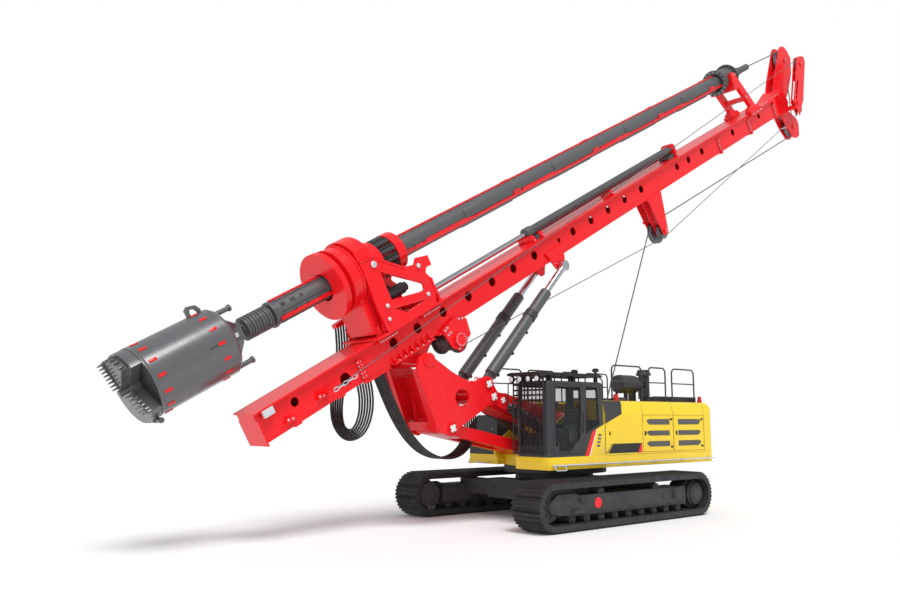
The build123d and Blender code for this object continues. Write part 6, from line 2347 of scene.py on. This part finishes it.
@dataclass
class CabDetail:
    """Seals, lamps, rails, panels and inside of the cab, and trim of the right-hand box.

    Attributes:
        wall: Distance of the cab's outer side from the middle.
        front: The cab's front.
    """

    wall: float = 1.75
    front: float = 2.11

    def ring(self, shop: Shop, name: str, path: Sequence[Vector], radius: float, body: str) -> None:
        """Lays a rubber seal along a closed line of points."""
        shop.tube(name, [*path, path[0], path[1]], radius, body, "seal")

    def seals(self, shop: Shop) -> None:
        """Window and door seals."""
        window = [(1.89, 3.04), (1.91, 1.90), (1.77, 1.77), (1.76, 1.64), (1.42, 1.62), (1.26, 1.77)]
        window += [(1.08, 1.89), (1.03, 2.56), (1.05, 3.04)]
        quarter = [(0.41, 2.20), (0.47, 3.05), (0.87, 3.05), (0.87, 2.01)]
        door = oblong(0.955, 1.955, 1.565, 3.105)
        # columns: name, body, y, radius, line of x and z
        for name, body, y, radius, line in (
            ("door_window_seal", "cab_door", self.wall + 0.001, 0.011, window),
            ("quarter_window_seal", "upper", self.wall + 0.001, 0.011, quarter),
            ("door_gap_seal", "upper", self.wall - 0.002, 0.006, door),
        ):
            self.ring(shop, name, upright(y, line), radius, body)
        screen = [Vector((self.front + 0.001, y, z)) for y, z in oblong(0.88, 1.62, 1.76, 3.05)]
        self.ring(shop, "windscreen_seal", screen, 0.012, "upper")
        right = upright(0.749, oblong(0.40, 1.95, 2.00, 3.05))
        self.ring(shop, "right_window_seal", right, 0.011, "upper")

    def panels(self, shop: Shop) -> None:
        """Yellow tray under the cab, yellow lower corner with its red and white band, and vents."""
        tray = Form()
        rear, right = 0.205, 0.745
        inner, outer = (self.front - 0.01, self.wall - 0.01), (self.front + 0.012, self.wall + 0.012)
        # columns: x, y round the band that wraps the cab's front corner
        strip = [(rear, inner[1]), (rear, outer[1]), outer, (outer[0], right), (inner[0], right), inner]
        tray.slab([Vector((x, y, 1.228)) for x, y in strip], Z * 0.275)
        side_slab(tray, 1, self.wall - 0.002, [(0.93, 1.50), (0.65, 2.05), (0.21, 2.22), (0.21, 1.50)], 0.010)
        shop.add(tray, "cab_tray", "upper", "yellow", 0.008)
        band = Form()
        stripe = [(0.93, 1.505), (0.79, 1.505), (0.515, 2.10), (0.65, 2.05)]
        side_slab(band, 1, self.wall + 0.006, stripe, 0.006)
        shop.add(band, "cab_red_band", "upper", "red")
        edge = Form()
        stripe = [(0.79, 1.505), (0.757, 1.505), (0.487, 2.112), (0.515, 2.10)]
        side_slab(edge, 1, self.wall + 0.006, stripe, 0.006)
        shop.add(edge, "cab_band_edge", "upper", "white")
        vents = Form()
        for number in range(4):
            z = 1.70 + number * 0.08
            shift = -0.02 * number
            side_slab(vents, 1, self.wall + 0.006, oblong(0.40 + shift, 0.52 + shift, z, z + 0.055), 0.004)
        shop.add(vents, "cab_vents", "upper", "louvre", 0.002)
        shop.bolt("upper", upright(self.wall + 0.01, [(0.26, 1.62), (0.26, 2.08)]), Y, 0.016)

    def guards(self, shop: Shop) -> None:
        """Frame, lamps and domes of the guards, hand rails and wiper."""
        line = [Vector((2.228, y, z)) for y, z in oblong(0.80, 1.70, 1.60, 3.22)]
        shop.tube("guard_frame", rounded([*line, line[0]], 0.08), 0.018, "upper", "black", 10)
        bodies, lenses = Form(), Form()
        for y in (0.86, 1.12, 1.38, 1.64):
            start = Vector((2.26, y, 3.205))
            bodies.turned(
                start, X, [(0.03, 0.0), (0.05, 0.01), (0.068, 0.05), (0.068, 0.10), (0.06, 0.102)], 24
            )
            bodies.block((2.28, y - 0.012, 3.24), (2.31, y + 0.012, 3.285))
            lenses.turned(start, X, [(0.03, 0.096), (0.060, 0.098), (0.056, 0.108), (0.02, 0.112)], 24)
        # columns: x, y, z of each dome's foot
        for x, y, base in ((1.0, 1.55, 3.335), (0.34, 1.62, 3.335)):
            post = 0.03 if x > 0.5 else 0.08
            bodies.turned(
                Vector((x, y, base - 0.005)),
                Z,
                [
                    (0.03, 0), (0.03, post), (0.075, post + 0.005), (0.08, post + 0.06),
                    (0.05, post + 0.085), (0.01, post + 0.09),
                ],
                28,
            )
        shop.add(bodies, "lamp_bodies", "upper", "black")
        shop.add(lenses, "lamp_lenses", "upper", "lamp")
        loop = vectors((2.235, 0.79, 2.57), (2.235, 0.64, 2.57), (2.235, 0.64, 3.13), (2.235, 0.79, 3.13))
        shop.pipe("guard_hand_rail", loop, 0.013, "upper", "black")
        back = upright(1.68, [(0.32, 3.31), (0.17, 3.22), (0.17, 2.77)])
        shop.pipe("rear_hand_rail", back, 0.015, "upper", "black")
        rim = [Vector((x, y, 3.337)) for x, y in oblong(0.29, 2.36, 0.77, 1.73)]
        shop.tube("roof_guard_rim", rounded([*rim, rim[0]], 0.10), 0.016, "upper", "black")
        wiper = vectors((2.125, 1.40, 1.72), (2.135, 1.36, 1.9), (2.135, 1.15, 2.55))
        shop.pipe("wiper_arm", wiper, 0.007, "upper", "black", 6)

    def fittings(self, shop: Shop) -> None:
        """Door handle and hinges."""
        parts = Form()
        # columns: x, z, half width, height
        for x, z, wide, tall in (
            (1.845, 2.60, 0.03, 0.10), (1.845, 1.75, 0.03, 0.10), (1.075, 2.60, 0.035, 0.12)
        ):
            side_slab(parts, 1, self.wall - 0.002, oblong(x - wide, x + wide, z, z + tall), 0.028)
        shop.add(parts, "cab_door_fittings", "cab_door", "black", 0.006)
        grip = vectors((1.02, 1.75, 2.05), (1.02, 1.80, 2.05), (1.02, 1.80, 2.45), (1.02, 1.75, 2.45))
        shop.pipe("cab_door_grip", grip, 0.012, "cab_door", "black")

    def inside(self, shop: Shop) -> None:
        """Consoles, levers and screen."""
        console = Form()
        for low, high in ((0.84, 0.98), (1.52, 1.66)):
            console.slab(
                upright(low, [(0.75, 1.55), (1.25, 1.55), (1.38, 2.12), (1.30, 2.20), (0.75, 2.22)]),
                Y * (high - low),
            )
        console.slab(upright(0.85, [(1.90, 1.55), (2.04, 1.55), (2.04, 1.95), (1.96, 2.0)]), Y * 0.5)
        shop.add(console, "cab_consoles", "upper", "black", 0.015)
        levers = Form()
        for y in (0.91, 1.59):
            levers.turned(
                Vector((1.22, y, 2.15)),
                Vector((0.1, 0, 1)),
                [(0.04, 0), (0.012, 0.03), (0.012, 0.13), (0.026, 0.15), (0.03, 0.24), (0.01, 0.26)],
                16,
            )
        for y in (1.08, 1.25):
            levers.turned(
                Vector((1.72, y, 1.55)),
                Vector((0.35, 0, 1)),
                [(0.012, 0), (0.012, 0.30), (0.028, 0.31), (0.03, 0.36), (0.01, 0.37)],
                14,
            )
        shop.add(levers, "cab_levers", "upper", "seal")
        screen = Form().block((1.86, 0.86, 2.15), (1.89, 1.14, 2.38))
        shop.add(screen, "cab_screen", "upper", "black", 0.008)

    def right_box(self, shop: Shop) -> None:
        """Seams, lid line, handle and blank plate of the right-hand box."""
        cover = Form()
        cover.block((1.238, -1.62, 1.62), (1.246, -0.88, 2.12))
        shop.add(cover, "box_front_panel", "upper", "dark", 0.004)
        blank = Form().block((1.244, -1.50, 1.70), (1.250, -1.00, 1.82))
        shop.add(blank, "box_blank_plate", "upper", "black", 0.003)
        rim = [Vector((1.24, -1.745, 1.47)), Vector((1.24, -0.76, 1.47))]
        shop.pipe("box_front_seam", rim, 0.006, "upper", "seal", 6)
        side = upright(-1.75, [(0.21, 1.47), (1.23, 1.47)])
        shop.pipe("box_side_seam", side, 0.006, "upper", "seal", 6)
        grip = vectors((1.24, -1.25, 1.92), (1.30, -1.25, 1.92), (1.30, -1.05, 1.92), (1.24, -1.05, 1.92))
        shop.pipe("box_grip", grip, 0.010, "upper", "silver")
        shop.bolt("upper", [Vector((1.246, y, z)) for y in (-1.58, -0.92) for z in (1.66, 2.08)], X, 0.014)

    def build(self, shop: Shop) -> None:
        """Builds all of it."""
        self.seals(shop)
        self.panels(shop)
        self.guards(shop)
        self.fittings(shop)
        self.inside(shop)
        self.right_box(shop)


class RoofDetail:
    """Filter, stack, gratings and lamps on the house's roof."""

    TOP = 2.76

    def build(self, shop: Shop) -> None:
        """Builds all of it."""
        drum = Form()
        centre = Vector((0, 0.75, 3.215))
        drum.turned(
            centre,
            X,
            [
                (0.10, -2.30), (0.205, -2.275), (0.231, -2.24), (0.231, -1.60), (0.222, -1.575),
                (0.17, -1.565), (0.16, -1.575), (0.05, -1.58),
            ],
            56,
        )
        for x in (-2.12, -1.93, -1.72):
            drum.turned(centre + X * x, X, oblong(0.225, 0.238, -0.02, 0.02), 56)
        shop.add(drum, "filter_drum", "upper", "dark")
        stack = Form()
        foot = Vector((-2.70, 0.75, 2.85))
        stack.turned(foot, Z, [(0.16, 0.0), (0.16, 0.03), (0.128, 0.04), (0.128, 0.60), (0.10, 0.62)], 40)
        stack.turned(foot, Z, [(0.10, 0.59), (0.195, 0.61), (0.195, 0.66), (0.14, 0.755), (0.05, 0.765)], 40)
        for turn in (0, 60, 120, 180, 240, 300):
            out = Vector((math.cos(math.radians(turn)), math.sin(math.radians(turn)), 0))
            stack.slab(
                [foot + out * a + Z * b for a, b in oblong(0.125, 0.15, 0.05, 0.58)], out.cross(Z) * 0.008
            )
        shop.add(stack, "intake_stack", "upper", "dark")
        pipe = upright(0.20, [(-2.86, 2.74), (-2.86, 3.20), (-3.05, 3.34)])
        shop.pipe("exhaust_pipe", pipe, 0.07, "upper", "iron", 24)
        gratings = Form()
        for y in (-1.15, 1.15):
            for number in range(47):
                x = -4.14 + number * 0.0405
                gratings.block((x, y - 0.20, 2.845), (x + 0.010, y + 0.20, 2.862))
            for side in (-0.21, 0.20):
                gratings.block((-4.16, y + side, 2.80), (-2.26, y + side + 0.012, 2.905))
        shop.add(gratings, "walkway_bars", "upper", "black")
        feet = Form()
        # columns: y, rear x, front x of each rail
        rails = [(1.45, -1.65, -0.47), (1.45, -2.66, -1.94), (1.45, -3.95, -2.95)]
        rails += [(-1.45, -1.65, -0.57), (-1.45, -2.66, -1.94), (-1.45, -3.95, -2.95)]
        for y, rear, front in rails:
            for x in (rear, front):
                feet.turned(
                    Vector((x, y, self.TOP - 0.004)),
                    Z,
                    [(0.05, 0), (0.05, 0.012), (0.03, 0.016), (0.03, 0.06), (0.02, 0.062)],
                    20,
                )
        shop.add(feet, "rail_feet", "upper", "black")
        amber = Form().turned(
            Vector((-0.52, 1.50, self.TOP)),
            Z,
            [(0.05, 0), (0.05, 0.05), (0.042, 0.06), (0.042, 0.13), (0.03, 0.15), (0.01, 0.155)],
            24,
        )
        shop.add(amber, "amber_lamp", "upper", "amber")
        box = Form().block((-0.95, 1.28, self.TOP - 0.005), (-0.66, 1.50, self.TOP + 0.09))
        shop.add(box, "roof_box", "upper", "dark", 0.012)
        well = Form()
        for y in (-0.68, 0.65):
            well.block((-2.13, y, 2.755), (0.18, y + 0.03, 2.785))
        well.block((-2.13, -0.68, 2.755), (-2.10, 0.68, 2.785))
        shop.add(well, "rope_well_rim", "upper", "dark", 0.004)
        for y in (-1.0, 0.0, 1.0):
            eye = upright(y, [(-4.0, 2.75), (-4.0, 2.83), (-3.92, 2.83), (-3.92, 2.75)])
            shop.pipe(f"lifting_eye_{y:.0f}", eye, 0.012, "upper", "black", 8)


# ---------------------------------------------------------------- stage
@dataclass
class Studio:
    """White floor, plain light and the camera.

    Attributes:
        eye: Camera place.
        yaw: Direction that it looks in, from +X, in radians.
        pitch: Upward tilt in radians.
        roll: Turn about the view line in radians.
        focal: Focal length in sensor widths.
        sensor: Sensor width in millimetres.
        reach: Half width of the floor.
    """

    eye: tuple[float, float, float] = (15.693, 14.164, 2.358)
    yaw: float = -2.2844
    pitch: float = 0.1398
    roll: float = 0.0016
    focal: float = 0.92789
    sensor: float = 36.0
    reach: float = 120.0

    def camera(self) -> None:
        """Makes the camera and gives it to the scene."""
        data = bpy.data.cameras.new("camera")
        data.sensor_width = self.sensor
        data.lens = self.focal * self.sensor
        data.clip_end = 400
        view = link(bpy.data.objects.new("camera", data))
        ahead = Vector(
            (
                math.cos(self.pitch) * math.cos(self.yaw),
                math.cos(self.pitch) * math.sin(self.yaw),
                math.sin(self.pitch),
            )
        )
        turn = ahead.to_track_quat("-Z", "Y").to_matrix().to_4x4() @ Matrix.Rotation(self.roll, 4, "Z")
        view.matrix_world = Matrix.Translation(self.eye) @ turn
        bpy.context.scene.camera = view

    def floor(self) -> None:
        """Lays a wide pale floor that shows white but keeps the rig's shadow."""
        corners = [(x, y, 0) for x, y in oblong(-self.reach, self.reach, -self.reach, self.reach)]
        ground = mesh_object("studio_floor", corners, [(0, 1, 2, 3)])
        mat, tree, _ = blank_material("studio_floor_paper")
        paper = add(tree, "ShaderNodeBsdfDiffuse", inputs={"Color": (0.93, 0.93, 0.93, 1)})
        ground.data.materials.append(surfaced(mat, paper))

    def world(self) -> None:
        """Makes the surroundings: soft light, and white where the camera or glass looks."""
        world = bpy.data.worlds.new("studio")
        bpy.context.scene.world = world
        world.use_nodes = True
        tree = world.node_tree
        tree.nodes.clear()
        ray = add(tree, "ShaderNodeLightPath")
        seen = add(
            tree,
            "ShaderNodeMath",
            {"operation": "MAXIMUM"},
            {0: ray.outputs["Is Camera Ray"], 1: ray.outputs["Is Transmission Ray"]},
        )
        soft = add(tree, "ShaderNodeBackground", inputs={"Color": (0.95, 0.97, 1.0, 1), "Strength": 0.62})
        white = add(tree, "ShaderNodeBackground", inputs={"Color": (1, 1, 1, 1), "Strength": 1.0})
        both = add(
            tree, "ShaderNodeMixShader", inputs={0: seen.outputs[0], 1: soft.outputs[0], 2: white.outputs[0]}
        )
        add(tree, "ShaderNodeOutputWorld", inputs={"Surface": both.outputs[0]})

    def sun(self, name: str, direction: Sequence[float], angle: float, strength: float) -> None:
        """Adds one sun.

        Args:
            name: The lamp's name.
            direction: Where its light comes from.
            angle: Apparent size in degrees, which softens its shadows.
            strength: Light in watts per square metre.
        """
        data = bpy.data.lights.new(name, "SUN")
        data.angle = math.radians(angle)
        data.energy = strength
        lamp = link(bpy.data.objects.new(name, data))
        lamp.rotation_euler = Vector(direction).to_track_quat("Z", "Y").to_euler()

    def build(self) -> None:
        """Sets up floor, light and camera."""
        bpy.context.scene.view_settings.view_transform = "Standard"
        self.floor()
        self.world()
        self.sun("key", (0.35, 0.75, 1.3), 24, 1.9)
        self.sun("side", (1.0, 0.55, 0.25), 40, 0.55)
        self.camera()


def dress_nodes(finishes: Finishes) -> None:
    """Gives each CAD node its finish.

    Args:
        finishes: The rig's finishes.
    """
    for name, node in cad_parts.items():
        node.data.materials.clear()
        node.data.materials.append(getattr(finishes, NODE_FINISH[name]))
        LOG.info("%s: %s", name, NODE_FINISH[name])


def main() -> None:
    """Builds the stage and every piece."""
    logging.basicConfig(level=logging.INFO, format="%(name)s %(message)s")
    Studio().build()
    finishes = Finishes()
    dress_nodes(finishes)
    HoseLoops().build(finishes)
    shop = Shop(finishes)
    Ropes().build(shop)
    for area in (
        KellyDetail(), BucketDetail(), MastDetail(), HeadDetail(), DriveDetail(), LinkageDetail(),
        TrackDetail(), HouseDetail(), CabDetail(), RoofDetail(),
    ):
        area.build(shop)
    Fasteners().build(shop)


if __name__ == "__main__":
    main()
